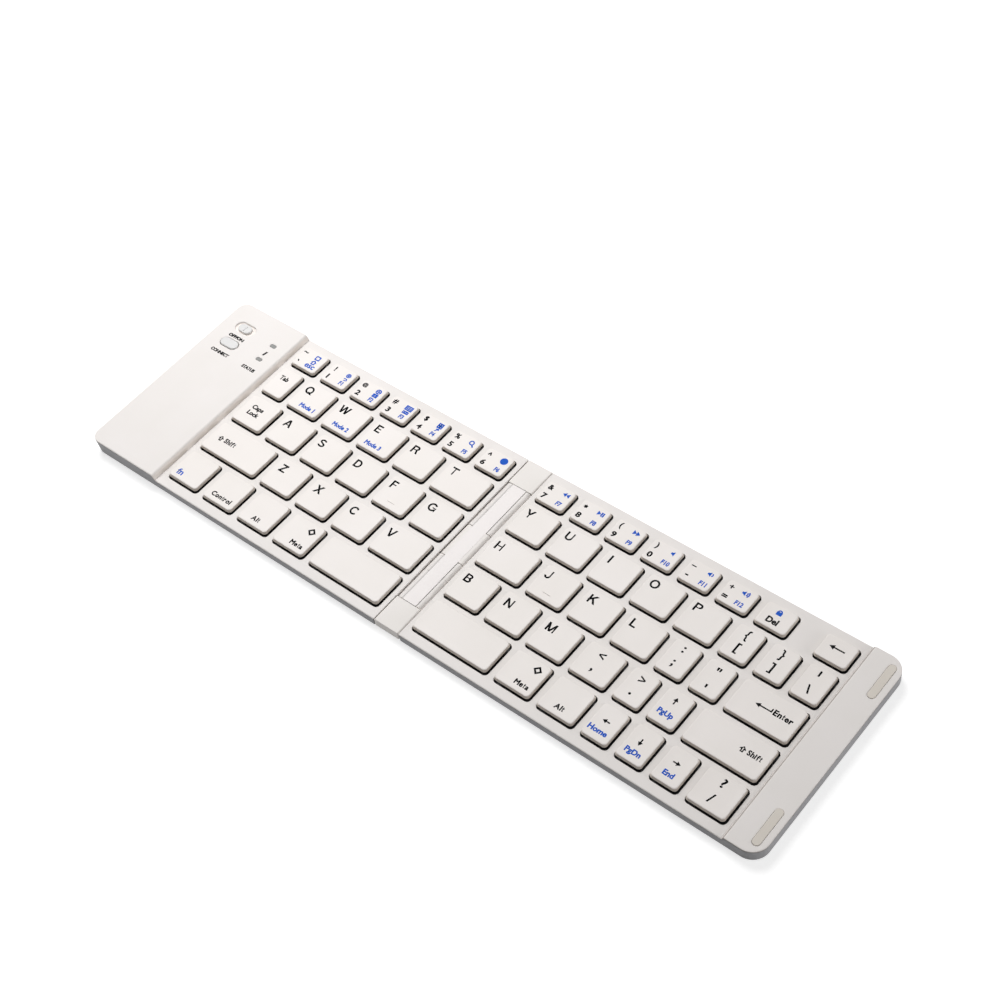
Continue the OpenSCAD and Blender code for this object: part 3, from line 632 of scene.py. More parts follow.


# The caps' sides turn darker beige below the rounded edge: painted shade on the sides
key_plastic = moulded("key_plastic", (244, 238, 234), (241, 235, 230), 0.46, 0.28,
                      0.01, ((206, 196, 186), 4.95, 5.24), Specular_IOR_Level=0.4)
for key in SINGLE:
    skin = Skin()
    keycap(skin, key)
    if key in "fj":
        key_mark(skin, key)
    dress(skin.piece("cap_" + key), "key_" + key, key_plastic, "key_plastic", "key_" + key)
for group, names in GROUPS.items():
    skin = Skin()
    for key in names:
        keycap(skin, key)
    dress(skin.piece("caps_" + group), group, key_plastic, "key_plastic", group)


# ---- Legends -----------------------------------------------------------------------------
# Thin prints on the keycaps and beside the controls: plain letters, figures, signs and
# arrows in black, and the second functions in blue. Each print moves with its keycap.
PRINT_T = 0.012
CAP_RATIO = 0.682  # height of the typeface's capitals over its size
STEM = 0.205  # width of the plain letters' strokes


def flat_shape(fill):
    """The filled face of a flat curve or text: its points and faces, in millimetres."""
    holder = set_out("outline", fill)
    bpy.context.view_layer.update()
    shape = bpy.data.meshes.new_from_object(
        holder.evaluated_get(bpy.context.evaluated_depsgraph_get()))
    work = bmesh.new()
    work.from_mesh(shape)
    bmesh.ops.remove_doubles(work, verts=work.verts, dist=0.0008)
    work.verts.index_update()
    points = [tuple(v.co.xy) for v in work.verts]
    faces = [tuple(v.index for v in f.verts) for f in work.faces]
    work.free()
    bpy.data.objects.remove(holder)
    bpy.data.meshes.remove(shape)
    return points, [upward(points, f) for f in faces]


def upward(points, face):
    area = sum(points[a][0] * points[b][1] - points[b][0] * points[a][1]
               for a, b in zip(face, face[1:] + face[:1]))
    return face if area > 0 else tuple(reversed(face))


def rim(faces):
    """The directed edges around a flat shape, with its inside to their left."""
    edges = {(a, b) for f in faces for a, b in zip(f, f[1:] + f[:1])}
    return [(a, b) for a, b in edges if (b, a) not in edges]


def bolder(shape, weight):
    """A flat shape grown by a margin all round."""
    points, faces = shape
    pull = {}
    for a, b in rim(faces):
        (ax, ay), (bx, by) = points[a], points[b]
        length = math.hypot(bx - ax, by - ay) or 1
        for i in (a, b):
            pull.setdefault(i, []).append(((by - ay) / length, (ax - bx) / length))
    points = list(points)
    for i, ways in pull.items():
        wx, wy = sum(w[0] for w in ways), sum(w[1] for w in ways)
        size = math.hypot(wx, wy)
        if size > 0.3:
            reach = weight / max(size / len(ways), 0.6) / size
            points[i] = (points[i][0] + wx * reach, points[i][1] + wy * reach)
    return points, faces


def union(quads):
    """Overlapping faces of strokes, merged into one flat shape."""
    corners = [Vector(p) for quad in quads for p in quad]
    out = delaunay_2d_cdt(corners, [], [tuple(range(n, n + 4))
                                        for n in range(0, len(corners), 4)], 0, 1e-5)
    points = [tuple(p) for p in out[0]]
    return points, [upward(points, tuple(f)) for f, origin in zip(out[2], out[5]) if origin]


def block(x0, y0, x1, y1):
    return [[(x0, y0), (x1, y0), (x1, y1), (x0, y1)]]


def bar(x0, y0, x1, y1):
    """A slanting stroke, cut level at both ends."""
    h = STEM / 2 * math.hypot(x1 - x0, y1 - y0) / abs(y1 - y0)
    return [[(x0 - h, y0), (x0 + h, y0), (x1 + h, y1), (x1 - h, y1)]]


def bow(cx, cy, rx, ry, a0, a1):
    """A curved stroke along an ellipse, between two angles."""
    steps = max(round(abs(a1 - a0) / 12), 3)
    turn = [math.radians(a0 + (a1 - a0) * n / steps) for n in range(steps + 1)]
    out = [(cx + rx * math.cos(t), cy + ry * math.sin(t)) for t in turn]
    inn = [(cx + (rx - STEM) * math.cos(t), cy + (ry - STEM * 0.92) * math.sin(t)) for t in turn]
    return [[out[n], out[n + 1], inn[n + 1], inn[n]] for n in range(steps)]


# Capitals of one plain stroke, on a height of 1
T, U = STEM, 1 - STEM * 0.92
POST, ROUND = block(0, 0, T, 1), bow(0.5, 0.5, 0.5, 0.515, 0, 360)
LETTERS = {
    "A": bar(0.09, 0, 0.47, 1) + bar(0.85, 0, 0.47, 1) + block(0.2, 0.25, 0.74, 0.37),
    "B": (POST + block(T, U, 0.46, 1) + block(T, 0.46, 0.48, 0.58)
          + block(T, 0, 0.48, 1 - U) + bow(0.46, 0.73, 0.3, 0.27, -90, 90)
          + bow(0.48, 0.29, 0.32, 0.29, -90, 90)),
    "C": bow(0.48, 0.5, 0.48, 0.515, 38, 322),
    "D": (POST + block(T, U, 0.4, 1) + block(T, 0, 0.4, 1 - U)
          + bow(0.39, 0.5, 0.46, 0.5, -90, 90)),
    "E": POST + block(T, U, 0.7, 1) + block(T, 0.45, 0.65, 0.57) + block(T, 0, 0.72, 1 - U),
    "F": POST + block(T, U, 0.68, 1) + block(T, 0.44, 0.6, 0.56),
    "G": (bow(0.5, 0.5, 0.5, 0.515, 36, 330) + block(0.54, 0.4, 0.96, 0.52)
          + block(0.85, 0.02, 0.96, 0.42)),
    "H": POST + block(0.68, 0, 0.82, 1) + block(T, 0.45, 0.68, 0.57),
    "I": POST,
    "J": block(0.5, 0.3, 0.64, 1) + bow(0.32, 0.3, 0.32, 0.315, 180, 360),
    "K": POST + bar(0.06, 0.33, 0.74, 1) + bar(0.78, 0, 0.34, 0.66),
    "L": POST + block(T, 0, 0.66, 1 - U),
    "M": POST + block(0.82, 0, 0.96, 1) + bar(0.48, 0, 0.085, 1) + bar(0.48, 0, 0.875, 1),
    "N": POST + block(0.68, 0, 0.82, 1) + bar(0.74, 0, 0.08, 1),
    "O": ROUND,
    "P": (POST + block(T, U, 0.48, 1) + block(T, 0.41, 0.48, 0.53)
          + bow(0.48, 0.705, 0.31, 0.295, -90, 90)),
    "Q": ROUND + bar(0.92, -0.03, 0.6, 0.27),
    "R": (POST + block(T, U, 0.5, 1) + block(T, 0.42, 0.5, 0.54)
          + bow(0.5, 0.71, 0.31, 0.29, -90, 90) + bar(0.76, 0, 0.6, 0.45)),
    "S": bow(0.41, 0.735, 0.37, 0.28, 15, 270) + bow(0.41, 0.28, 0.41, 0.295, -168, 90),
    "T": block(0, U, 0.82, 1) + block(0.34, 0, 0.48, U),
    "U": (block(0, 0.32, T, 1) + block(0.67, 0.32, 0.81, 1)
          + bow(0.405, 0.32, 0.405, 0.335, 180, 360)),
    "V": bar(0.45, 0, 0.08, 1) + bar(0.45, 0, 0.82, 1),
    "W": (bar(0.32, 0, 0.08, 1) + bar(0.32, 0, 0.6, 1) + bar(0.88, 0, 0.6, 1)
          + bar(0.88, 0, 1.12, 1)),
    "X": bar(0.09, 0, 0.79, 1) + bar(0.81, 0, 0.11, 1),
    "Y": bar(0.44, 0.38, 0.08, 1) + bar(0.44, 0.38, 0.8, 1) + block(0.37, 0, 0.51, 0.44),
    "Z": block(0.03, U, 0.8, 1) + block(0, 0, 0.82, 1 - U) + bar(0.1, 0.06, 0.7, 0.94),
}


def lettering(text, cap, stretch, weight):
    """A large letter in plain strokes, or other words and signs in the usual typeface."""
    if text in LETTERS and cap > 3:
        points, faces = union(LETTERS[text])
        return [(x * cap, y * cap) for x, y in points], faces
    points, faces = (spelled if "t" in text else font_shape)(text, cap, weight)
    return [(x * stretch, y) for x, y in points], faces


def font_shape(text, cap, weight):
    fill = bpy.data.curves.new("letters", "FONT")
    fill.body, fill.size = text, cap / CAP_RATIO
    fill.resolution_u = 3
    return bolder(flat_shape(fill), weight)


def spelled(text, cap, weight):
    """A word set letter by letter, with a plain stroke letter for the t."""
    points, faces, x = [], [], 0
    for sign in text:
        if sign == "t":
            glyph = union(block(0.13, 0, 0.29, 0.95) + block(0, 0.57, 0.44, 0.71)
                          + block(0.13, 0, 0.44, 0.14))
            glyph = [(px * cap, py * cap) for px, py in glyph[0]], glyph[1]
        else:
            glyph = font_shape(sign, cap, weight)
        low = min(px for px, _ in glyph[0])
        faces += [tuple(i + len(points) for i in face) for face in glyph[1]]
        points += [(px - low + x, py) for px, py in glyph[0]]
        x = max(px for px, _ in points) + 0.07 * cap
    return points, faces


def combined(shapes):
    """Flat shapes as one."""
    points, faces = [], []
    for more, their in shapes:
        faces += [tuple(i + len(points) for i in f) for f in their]
        points += more
    return points, faces


def outlined(loops):
    """A flat shape from its outlines; an outline inside another one is a hole."""
    fill = bpy.data.curves.new("icon", "CURVE")
    fill.dimensions, fill.fill_mode = "2D", "BOTH"
    for loop in loops:
        spline = fill.splines.new("POLY")
        spline.points.add(len(loop) - 1)
        for point, (x, y) in zip(spline.points, loop):
            point.co = (x, y, 0, 1)
        spline.use_cyclic_u = True
    return flat_shape(fill)


def box_loop(x, y, w, h):
    return block(x - w / 2, y - h / 2, x + w / 2, y + h / 2)[0]


def arrow(length, head, width, shaft):
    """An arrow along X with its middle at zero."""
    a, b, c = -length / 2, length / 2 - head, length / 2
    return [(a, -shaft / 2), (b, -shaft / 2), (b, -width / 2), (c, 0), (b, width / 2),
            (b, shaft / 2), (a, shaft / 2)]


def ring_loops(x, y, r, t):
    return [circle(x, y, r, 20), circle(x, y, r - t, 20)]


def wave(x, r, t):
    """An arc of sound, open to the left."""
    return arc(x, 0, r + t / 2, -40, 8, 80) + arc(x, 0, r - t / 2, 40, 8, -80)


def horn(x):
    return [(x - 0.55, -0.32), (x - 0.2, -0.32), (x + 0.5, -0.85), (x + 0.5, 0.85),
            (x - 0.2, 0.32), (x - 0.55, 0.32)]


def wedge(x, side):
    return [(x - side * 0.6, -0.85), (x + side * 0.6, 0), (x - side * 0.6, 0.85)]


# Each sign's shapes, each one given by its outlines, and the turn of some signs
ICONS = {
    "shift": [[[(-0.5, -1), (0.5, -1), (0.5, 0), (1.12, 0), (0, 1.1), (-1.12, 0), (-0.5, 0)],
               [(-0.22, -0.74), (0.22, -0.74), (0.22, 0.26), (0.5, 0.26), (0, 0.74),
                (-0.5, 0.26), (-0.22, 0.26)]]],
    "back": [[arrow(5.3, 1.6, 1.7, 0.36)]],
    "return": [[arrow(5.7, 1.5, 1.5, 0.34)], [box_loop(-2.68, -0.65, 0.34, 1.0)]],
    "diamond": [[[(-r, 0), (0, -r), (r, 0), (0, r)] for r in (1.55, 0.85)]],
    "slant": [[[(-0.38, -0.85), (-0.02, -0.85), (0.38, 0.85), (0.02, 0.85)]]],
    "screen": [[round_rect(-1.05, 1.05, -1.0, 1.0, 0.4, 0, 3),
                round_rect(-0.7, 0.7, -0.65, 0.65, 0.25, 0, 3)]],
    "house": [[[(-0.75, -1), (0.75, -1), (0.75, 0.05), (1.2, 0.05), (0, 1.15), (-1.2, 0.05),
                (-0.75, 0.05)],
               [(-0.4, -0.66), (0.4, -0.66), (0.4, 0.3), (0, 0.66), (-0.4, 0.3)]]],
    "sun": [[*ring_loops(0, 0, 0.95, 0.3), circle(0, 0, 0.4, 20)]],
    "hook": [[[(-0.7, 0.45), (0.5, 0.45), (0.8, 0.1), (0.8, -0.3), (0.3, -0.65), (-0.4, -0.65),
               (-0.4, -0.4), (0.2, -0.4), (0.5, -0.2), (0.5, 0.05), (0.3, 0.2), (-0.7, 0.2)]]],
    "globe": [ring_loops(0, 0, 1.1, 0.3), [box_loop(0, 0, 1.3, 0.26)],
              [box_loop(0, 0.45, 0.26, 0.5)], [box_loop(0, -0.45, 0.26, 0.5)]],
    "tiles": [[box_loop(x, y, 0.95, 0.7) for x in (-0.58, 0.58) for y in (-0.45, 0.45)]],
    "panel": [[box_loop(0, 0, 3.1, 2.1)] + [box_loop(0, y, 2.4, 0.26) for y in (0.55, 0, -0.55)]],
    "strip": [[box_loop(0, 0, 2.5, 1.2)] + [box_loop(x, 0, 0.36, 0.5) for x in (-0.75, 0, 0.75)]],
    "grid": [[box_loop(0, 0, 2.1, 2.3)]
             + [box_loop(x, y, 0.42, 0.42) for x in (-0.5, 0.5) for y in (-0.55, 0.55)]],
    "flag": [[[(-0.7, -0.75), (-0.35, -0.75), (0.1, 0), (0.75, 0.1), (0.5, 0.75), (-0.5, 0.45),
               (-0.2, 0)]]],
    "lens": [ring_loops(-0.1, 0.25, 1.0, 0.36),
             [[(0.4, -0.7), (0.65, -0.45), (1.4, -1.15), (1.12, -1.42)]]],
    "disc": [[circle(0, 0, 1.4, 28)]],
    "rewind": [[wedge(-0.65, -1), wedge(0.65, -1)]],
    "forward": [[wedge(-0.65, 1), wedge(0.65, 1)]],
    "play": [[wedge(-0.75, 1), box_loop(0.25, 0, 0.4, 1.6), box_loop(0.95, 0, 0.4, 1.6)]],
    "quiet": [[horn(0)]],
    "soft": [[horn(-0.3)], [wave(0.05, 0.85, 0.26)]],
    "loud": [[horn(-0.8)], [wave(-0.4, 0.85, 0.3)], [wave(-0.4, 1.45, 0.34)]],
    "lock": [[box_loop(0, -0.45, 1.8, 1.3)],
             [arc(0, 0.2, 0.75, 0, 10, 180) + arc(0, 0.2, 0.42, 180, 10, -180)]],
}
TURNS = {"back": 180, "return": 180, "up": 90, "left": 180, "down": 270}
for way in ("right", "up", "left", "down"):
    ICONS[way] = [[arrow(2.5, 1.2, 1.5, 0.34)]]


def turned(shape, degrees):
    c, s = math.cos(math.radians(degrees)), math.sin(math.radians(degrees))
    return [(x * c - y * s, x * s + y * c) for x, y in shape[0]], shape[1]


def placed(shape, mode):
    """A shape set from its left end, or centred across, or centred both ways ("mid")."""
    points, faces = shape
    (x0, x1), (y0, y1) = [(min(places), max(places)) for places in zip(*points)]
    cx = x0 if mode == "left" else (x0 + x1) / 2
    cy = (y0 + y1) / 2 if mode == "mid" else 0
    return [(x - cx, y - cy) for x, y in points], faces


def stamp(skin, shape, x, y, height):
    """Lays a flat shape on a surface as a thin closed print."""
    points = [(x + px, y + py) for px, py in shape[0]]
    top, foot = (skin.ring(points, lambda px, py: height(px, py) + lift)
                 for lift in (PRINT_T, -PRINT_T))
    for face in shape[1]:
        skin.faces.append(tuple(top[i] for i in face))
        skin.faces.append(tuple(foot[i] for i in reversed(face)))
    for a, b in rim(shape[1]):
        skin.faces.append((top[b], top[a], foot[a], foot[b]))


# Each key's prints: colour, setting, what it says, place from the front left corner of the
# key's opening and, for words, the height of capitals and the stretch
LETTER_PLACES = {
    "q": (2.4, 8.6), "w": (2.15, 8.6), "e": (2.35, 8.65), "r": (2.35, 8.7), "t": (2.95, 8.7),
    "a": (2.45, 8.4), "s": (2.35, 8.4), "d": (2.35, 8.45), "f": (2.4, 8.45), "g": (2.3, 8.4),
    "z": (3.05, 8.05), "x": (2.8, 8.05), "c": (2.4, 8.05), "v": (2.35, 8.05),
    "y": (2.4, 8.7), "u": (2.4, 8.7), "i": (3.15, 8.75), "o": (2.5, 8.75), "p": (2.4, 9.05),
    "h": (2.7, 8.4), "j": (2.35, 8.45), "k": (2.5, 8.6), "l": (2.4, 8.7), "b": (2.7, 8.25),
    "n": (2.7, 8.1), "m": (2.6, 8.3),
}
PRINTS = {key: [("black", "left", key.upper(), x + 0.1, y + 0.05, 3.4, 1)]
          for key, (x, y) in LETTER_PLACES.items()}
for key, word, x in (("q", "Mode 1", 9.0), ("w", "Mode 2", 8.4), ("e", "Mode 3", 6.8)):
    PRINTS[key].append(("blue", "wide", word, x, 2.65, 1.75, 0.9))
for n, (key, sign) in enumerate(zip("1 2 3 4 5 6 7 8 9 0 minus equals".split(),
                                    "!@#$%^&*()_+")):
    PRINTS[key] = [
        ("black", "mid", sign, 3.05, 7.6, 1.45 if sign == "@" else 1.95, 1),
        ("black", "mid", "1234567890-="[n], 2.8 if n == 0 else 3.05, 3.4, 2.05, 1.15),
        ("blue", "wide", f"F{n + 1}", 9.35 if n < 11 else 8.6, 2.4, 1.65, 0.85),
    ]
# The other prints, each one on a line under its colour and setting
for line in r'''
black left
tab Tab 2.85 8.5 1.8 0.95
caps_lock Caps 4.4 8.3 1.75 1
caps_lock Lock 4.5 5.4 1.75 1
left_shift Shift 7.3 6.55 1.8 0.96
right_shift Shift 20.2 7.15 1.75 0.95
control Control 3.45 2.85 1.75 1
left_alt Alt 6 2.85 1.75 1
right_alt Alt 6.05 3.05 1.75 1
enter Enter 14.45 7.15 1.95 1
black wide
delete Del 6.1 2.7 2.15 0.95
left_meta Meta 10 2.85 1.75 1
right_meta Meta 10.1 2.9 1.75 1
black mid
escape ~ 2.65 7.8 2.3 1
escape ` 2.75 3.2 3 1
slash ? 7.8 11.05 3.1 1.25
slash / 7.45 4.95 3.1 1.15
comma < 7.15 10.65 3.1 0.95
comma , 7.25 4.4 3.6 1
period > 5.6 10.65 3.1 0.95
period . 5.25 4.4 4.2 1
semicolon : 5.25 11.05 3.3 1.1
semicolon ; 5.25 5 3.3 1.1
quote " 5.55 11.25 3 1.2
quote ' 5.5 4.15 3.2 1.2
left_bracket { 5.45 10.5 3.1 1
left_bracket [ 5.5 4.9 3.1 1.1
right_bracket } 5.4 10.6 3.1 1
right_bracket ] 5.15 4.9 3.1 1.1
backslash | 5.45 11.45 1.5 1.8
backslash \ 5.5 4.9 3.1 1.15
black icon
backspace back 6.35 6.15
left_shift shift 5.5 7.3
right_shift shift 18.45 8
enter return 11.1 7.7
left_meta diamond 10.9 10.5
right_meta diamond 11 10.7
arrow_left left 5.55 8.25
arrow_down down 5.45 8.25
arrow_right right 5.55 8.6
arrow_up up 5.45 10.2
blue left
fn fn 2.85 2.7 2.4 1.05
blue mid
escape esc 8.5 2.95 2.3 1
blue wide
arrow_left Home 5.2 3.4 1.8 1.05
arrow_down PgDn 5.5 3.4 1.8 1
arrow_right End 5.6 3.4 1.8 1
arrow_up PgUp 5.45 4.1 1.8 1
blue icon
escape screen 8.55 7.65
escape house 8.55 5.2
1 sun 9.5 7.5
1 hook 9.5 5.45
2 globe 9.4 7.65
2 tiles 9.4 5.5
3 panel 9.35 7.65
3 strip 9.35 5.5
4 grid 9.5 7.6
4 flag 9.5 5.5
5 lens 9.25 7.5
6 disc 9.2 7.45
7 rewind 9.35 7.7
8 play 9.3 7.7
9 forward 9.25 7.75
0 quiet 9.2 7.7
minus soft 9.3 7.7
equals loud 8.4 7.7
delete lock 6.4 7.6
'''.strip().split("\n"):
    key, what, *numbers = line.split()
    if numbers:
        PRINTS.setdefault(key, []).append((colour, mode, what, *map(float, numbers)))
    else:
        colour, mode = key, what
ICON_WEIGHT, TALL_WEIGHT, TALL_CAP, SMALL_WEIGHT = 0.07, 0.1, 2.25, 0.065
CONTROL_WEIGHT, SLANT_WEIGHT, CONTROL_CAP = 0.13, 0.2, 1.25


def add_icon(skin, what, x, y, height, weight=ICON_WEIGHT):
    shape = turned(combined([outlined(loops) for loops in ICONS[what]]), TURNS.get(what, 0))
    stamp(skin, bolder(shape, weight), x, y, height)


def add_text(skin, mode, what, x, y, cap, stretch, height, weight):
    stamp(skin, placed(lettering(what, cap, stretch, weight), mode), x, y, height)


def ink(name, colour, tint):
    """Matt printed ink with a slight unevenness."""
    finish = Finish(name, Specular_IOR_Level=0.06)
    speck = finish.noise(0.5, 2)
    finish.set(Base_Color=finish.mix(speck, colour, tint), Roughness=0.7 + (speck - 0.5) * 0.2)
    finish.bump(speck, 0.002)
    return finish.material


INKS = {"black": ink("legend_black", (10, 10, 12), (18, 18, 20)),
        "blue": ink("legend_blue", (40, 94, 202), (46, 102, 208))}


def print_keys(name, body, names):
    for colour, material in INKS.items():
        skin = Skin()
        for key in names:
            x0, _, y0, _ = KEYS[key]
            for its, mode, what, x, y, *size in PRINTS.get(key, ()):
                if its == colour and mode == "icon":
                    add_icon(skin, what, x0 + x, y0 + y, key_surface(key))
                elif its == colour:
                    cap, stretch = size
                    add_text(skin, mode, what, x0 + x, y0 + y, cap, stretch, key_surface(key),
                             TALL_WEIGHT if cap > TALL_CAP else SMALL_WEIGHT * cap)
        if skin.points:
            dress(skin.piece(f"{colour}_print_{name}"), body, material, "legend_" + colour)


for key in SINGLE:
    print_keys(key, "key_" + key, [key])
for group, names in GROUPS.items():
    print_keys(group, group, names)
skin = Skin()
level = lambda x, y: LEFT_TOP
for what, x, y, stretch in (("OFF/ON", -132.1, 24.55, 1.1), ("CONNECT", -132.1, 15.6, 0.95),
                            ("STATUS", -117.2, 15.5, 0.95)):
    add_text(skin, "wide", what, x, y, CONTROL_CAP, stretch, level, CONTROL_WEIGHT)
add_icon(skin, "slant", -117.0, 25.05, level, SLANT_WEIGHT)
dress(skin.piece("black_print_controls"), "left_half", INKS["black"], "legend_black")


# ---- Spine -------------------------------------------------------------------------------
# A narrow moulded spine between the halves: round-sided blocks at the front and the back, a
# waisted web with its own pair of barrels, and a paler bar along its middle.
BLOCK_X, BLOCK_Y, BLOCK_R = 5.3, 29.2, 0.8
SPINE_FOOT, WEB_X, WAIST_R = 0.6, 2.85, 1.75
MIDDLE_FOOT, MIDDLE_TOP, MIDDLE_GAP = 0.8, 3.95, 7.2


def block_section(y, inset):
    """Section of the spine's blocks, across the keyboard."""
    return [(x, y, z) for x, z in
            round_rect(-BLOCK_X, BLOCK_X, SPINE_FOOT, DECK_Z, BLOCK_R, -inset, 6)]


skin = Skin()
for sign in (-1, 1):
    skin.loft([block_section(sign * y, inset) for y, inset in
               [(BLOCK_Y, 0.08), (BLOCK_Y + 0.08, 0)]
               + [(CASE_Y - drop, inset) for inset, drop in reversed(fillet(0.25))]])
web = [(-WEB_X, SPINE_FOOT), (WEB_X, SPINE_FOOT), (WEB_X, SPINE_FOOT + 0.08)]
web += arc(AXIS_X, AXIS_Z, WAIST_R, 245, 11, -110)
web += [(-x, z) for x, z in reversed(web[2:])]
skin.loft([[(x, y, z) for x, z in web] for y in (-BLOCK_Y - 0.2, BLOCK_Y + 0.2)])
for side in (-1, 1):
    barrel(skin, side, [(-MIDDLE_GAP - 0.05, BARREL_R - 0.12), (-MIDDLE_GAP + 0.05, BARREL_R),
                        (MIDDLE_GAP - 0.05, BARREL_R), (MIDDLE_GAP + 0.05, BARREL_R - 0.12)])
middle = [(-AXIS_X, -MIDDLE_GAP), (AXIS_X, -MIDDLE_GAP), (AXIS_X, MIDDLE_GAP),
          (-AXIS_X, MIDDLE_GAP)]
skin.loft([[(x, y, z) for x, y in middle] for z in (MIDDLE_FOOT, MIDDLE_TOP)])
spine_white = moulded("spine_white", (241, 236, 232), (237, 232, 227), 0.5, 0.35, 0.012,
                      Specular_IOR_Level=0.4)
dress(skin.piece("spine_body"), "spine", spine_white, "white_case", "spine")

BAR_X, BAR_Y, BAR_R = 2.8, 29.05, 0.3


def rounded_top(top, radius, steps=4):
    """Levels of a rounded upper edge, as (growth, height) up to the top."""
    return [(-inset, top - drop) for inset, drop in reversed(fillet(radius, steps))]


skin = Skin()
skin.column(lambda grow: round_rect(-BAR_X, BAR_X, -BAR_Y, BAR_Y, BAR_R, grow),
            [(-0.9, 3.5), (-0.9, 3.76), (0, 3.8)] + rounded_top(DECK_Z, 0.03, 2))
# The bar's sides turn dark brown below its top edge: painted shadow of the gaps beside it
bar_white = moulded("bar_white", (240, 234, 232), (237, 231, 229), 0.4, 0.4, 0.006,
                    ((62, 52, 44), 3.93, 3.985), Specular_IOR_Level=0.4)
dress(skin.piece("spine_strip"), "spine", bar_white, "spine_bar", "spine_bar")


# ---- Controls ----------------------------------------------------------------------------
# In the left raised end: a power slider with a fine ridge in a dished recess, a round-ended
# button that pairs the keyboard, and two smoked light windows flush with the top.
control_white = moulded("control_white", (217, 216, 215), (213, 212, 212), 0.42, 0.4, 0.006)
KNOB_MID, KNOB, KNOB_FOOT, KNOB_TOP = (-132.35, 30.3), (6, 3.8), 5.55, 6.3
RIDGE_X, RIDGE_Z, RIDGE_R = -132.2, 6.2, 0.3
skin = Skin()
skin.column(lambda grow: slot_ring(*KNOB_MID, *KNOB, grow),
            [(-0.1, KNOB_FOOT), (0, KNOB_FOOT + 0.07), (0, KNOB_TOP - 0.3)]
            + rounded_top(KNOB_TOP, 0.3, 5))
skin.loft([[(x, KNOB_MID[1] + y, z) for x, z in circle(RIDGE_X, RIDGE_Z, RIDGE_R, 18)]
           for y in (-1.3, 1.0)])
dress(skin.piece("slider_knob"), "power_slider", control_white, "control_plastic",
      "power_slider")
BUTTON_FOOT, BUTTON_TOP = 5.0, 6.45
skin = Skin()
skin.column(lambda grow: slot_ring(*BUTTON_MID, *BUTTON, grow),
            [(-0.05, BUTTON_FOOT), (0, BUTTON_FOOT + 0.1), (0, BUTTON_TOP - 0.35)]
            + rounded_top(BUTTON_TOP, 0.35, 5))
dress(skin.piece("pairing_button"), "connect_button", control_white, "control_plastic",
      "connect_button")
smoked = moulded("smoked_window", (110, 111, 108), (103, 104, 101), 0.4, 1.2, 0.002)
skin = Skin()
for mid in LIGHT_MIDS:
    skin.column(lambda grow: window(*mid, grow), [(0, 5.0), (0, 6.02), (-0.04, 6.06), (-0.1, 6.08)])
dress(skin.piece("light_windows"), "left_half", smoked, "light_window", "status_lights")


# ---- Pads and feet -----------------------------------------------------------------------
# Two silicone pads in the right raised end, on which the folded halves meet, and four flat
# rubber feet under each half.
PAD_FOOT, PAD_TOP, FOOT_TOP = 4.72, 5.4, 0.78
silicone = moulded("pad_silicone", (225, 218, 208), (221, 213, 203), 0.7, 0.5, 0.01)
skin = Skin()
for mid in PAD_MIDS:
    skin.column(lambda grow: slot_ring(*mid, *PAD, grow, False),
                [(0, PAD_FOOT), (0, PAD_TOP - 0.2)] + rounded_top(PAD_TOP, 0.2))
dress(skin.piece("silicone_pads"), "right_half", silicone, "pad_silicone", "bumper_pads")
rubber = moulded("foot_rubber", (104, 104, 106), (96, 96, 99), 0.8, 0.4, 0.02)
for name, half in HALVES.items():
    skin = Skin()
    for x, y in FEET:
        skin.column(lambda grow: circle(half["side"] * x, y, FOOT_R + grow),
                    [(-inset, up) for inset, up in fillet(0.25)] + [(0, FOOT_TOP)])
    dress(skin.piece(name + "_rubber_feet"), name + "_half", rubber, "foot_rubber",
          name + "_feet")


# ---- Works inside ------------------------------------------------------------------------
# Key plates, membranes, domes, frames, circuit board, battery, socket, pins, screws and the
# flat cable keep the solids of the construction and get their own finishes.
for finish, colour, tint, rough, grain, depth, metal, names in (
        ("plate_steel", (168, 168, 170), (158, 158, 161), 0.34, 0.5, 0.004, 1,
         ("left_key_plate", "right_key_plate")),
        ("membrane_film", (26, 26, 29), (22, 22, 24), 0.5, 0.8, 0.003, 0,
         ("left_membrane", "right_membrane")),
        ("dome_rubber", (60, 60, 62), (54, 54, 57), 0.75, 0.4, 0.01, 0,
         ("left_rubber_domes", "right_rubber_domes")),
        ("frame_plastic", (34, 34, 36), (30, 30, 33), 0.5, 0.4, 0.006, 0,
         ("left_scissor_frames", "right_scissor_frames")),
        ("pin_steel", (188, 188, 192), (176, 176, 180), 0.22, 0.5, 0.003, 1,
         ("left_hinge_pin", "right_hinge_pin", "left_screws", "right_screws")),
        ("board_lacquer", (40, 110, 72), (34, 98, 64), 0.3, 0.6, 0.004, 0,
         ("circuit_board",)),
        ("battery_foil", (196, 200, 206), (184, 188, 195), 0.35, 1.5, 0.02, 0.8,
         ("battery",)),
        ("socket_plating", (196, 196, 200), (184, 184, 189), 0.2, 0.6, 0.002, 1,
         ("charging_socket",)),
        ("flex_film", (190, 130, 60), (176, 116, 50), 0.3, 0.6, 0.002, 0,
         ("flex_cable",))):
    material = moulded(finish, colour, tint, rough, grain, depth, Metallic=metal)
    for name in names:
        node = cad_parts[name]
        node.data.materials.clear()
        node.data.materials.append(material)


# ---- Room --------------------------------------------------------------------------------
# A plain white table top, soft studio lamps above and behind, and the camera.
FLOOR_HALF, GLOW_FROM, GLOW_TO = 3, 0.25, 0.7
floor_mesh = bpy.data.meshes.new("table_top")
floor_mesh.from_pydata([(FLOOR_HALF * x, FLOOR_HALF * y, 0) for x, y in
                        ((-1, -1), (1, -1), (1, 1), (-1, 1))], [], [(0, 1, 2, 3)])
table_top = set_out("table_top", floor_mesh)


def seen(nodes):
    """One for the rays that show the surroundings, zero for those that light the object."""
    ray = nodes.node("ShaderNodeLightPath")
    return ray.top(ray.out("Is Glossy Ray")).top(ray.out("Is Transmission Ray"))


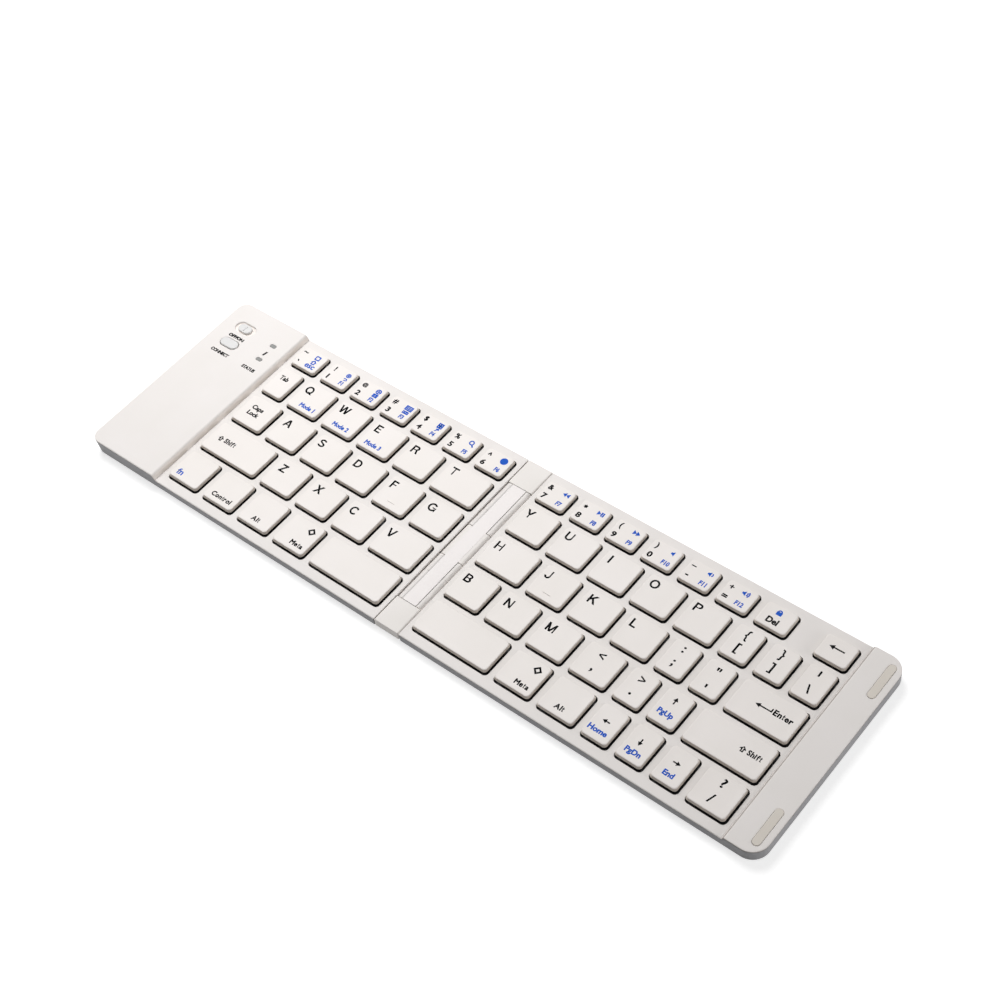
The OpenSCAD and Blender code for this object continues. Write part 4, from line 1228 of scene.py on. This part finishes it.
floor_finish = Finish("table_white", Roughness=0.9, Specular_IOR_Level=0.0,
                      Emission_Strength=1.0)
away = floor_finish.node("ShaderNodeVectorMath", {"operation": "LENGTH"},
                         {0: floor_finish.place}, "Value")
far = floor_finish.node("ShaderNodeMapRange", {}, {
    "Value": away, "From Min": GLOW_FROM, "From Max": GLOW_TO})
glow = floor_finish.mix(far, (216, 216, 216), (255, 255, 255))
floor_finish.set(Base_Color=floor_finish.mix(floor_finish.noise(200, 2), (204, 204, 204),
                                             (206, 206, 206)),
                 Emission_Color=floor_finish.mix(seen(floor_finish), (0, 0, 0), glow))
floor_mesh.materials.append(floor_finish.material)

ROOM_LIGHT, ROOM_SEEN = 0.155, 1.0
world = bpy.data.worlds.new("studio")
world.use_nodes = True
bpy.context.scene.world = world
studio = Nodes(world.node_tree)
backing = world.node_tree.nodes["Background"]
backing.inputs["Color"].default_value = (1, 1, 1, 1)
studio.feed(backing.inputs["Strength"], studio.node("ShaderNodeMapRange", {}, {
    "Value": seen(studio), "To Min": ROOM_LIGHT, "To Max": ROOM_SEEN}))


def lamp(name, place, aim, size, watts):
    made = set_out(name, bpy.data.lights.new(name, "AREA"))
    made.data.shape, made.data.size, made.data.energy = "DISK", size, watts
    made.location = place
    made.rotation_mode = "QUATERNION"
    made.rotation_quaternion = (Vector(aim) - Vector(place)).to_track_quat("-Z", "Y")


lamp("key_lamp", (-0.35, 0.27, 0.58), (0, 0, 0), 0.5, 4.58)
lamp("fill_lamp", (1.0, 0.2, 0.2), (0, 0, 0), 0.4, 2.9)
lamp("front_lamp", (-0.7, -0.7, 0.2), (-0.1, 0, 0), 0.3, 1.2)

camera = set_out("camera", bpy.data.cameras.new("camera"))
camera.data.lens, camera.data.sensor_width = 63.75, 36
camera.data.shift_x, camera.data.shift_y = 0.0553, 0.0407
camera.data.clip_start, camera.data.clip_end = 0.01, 20
camera.location = (0.27207, -0.24398, 0.46587)
camera.rotation_euler = [math.radians(turn) for turn in (38.01137, 7.20176, 40.03251)]
bpy.context.scene.camera = camera
bpy.context.scene.view_settings.view_transform = "Standard"
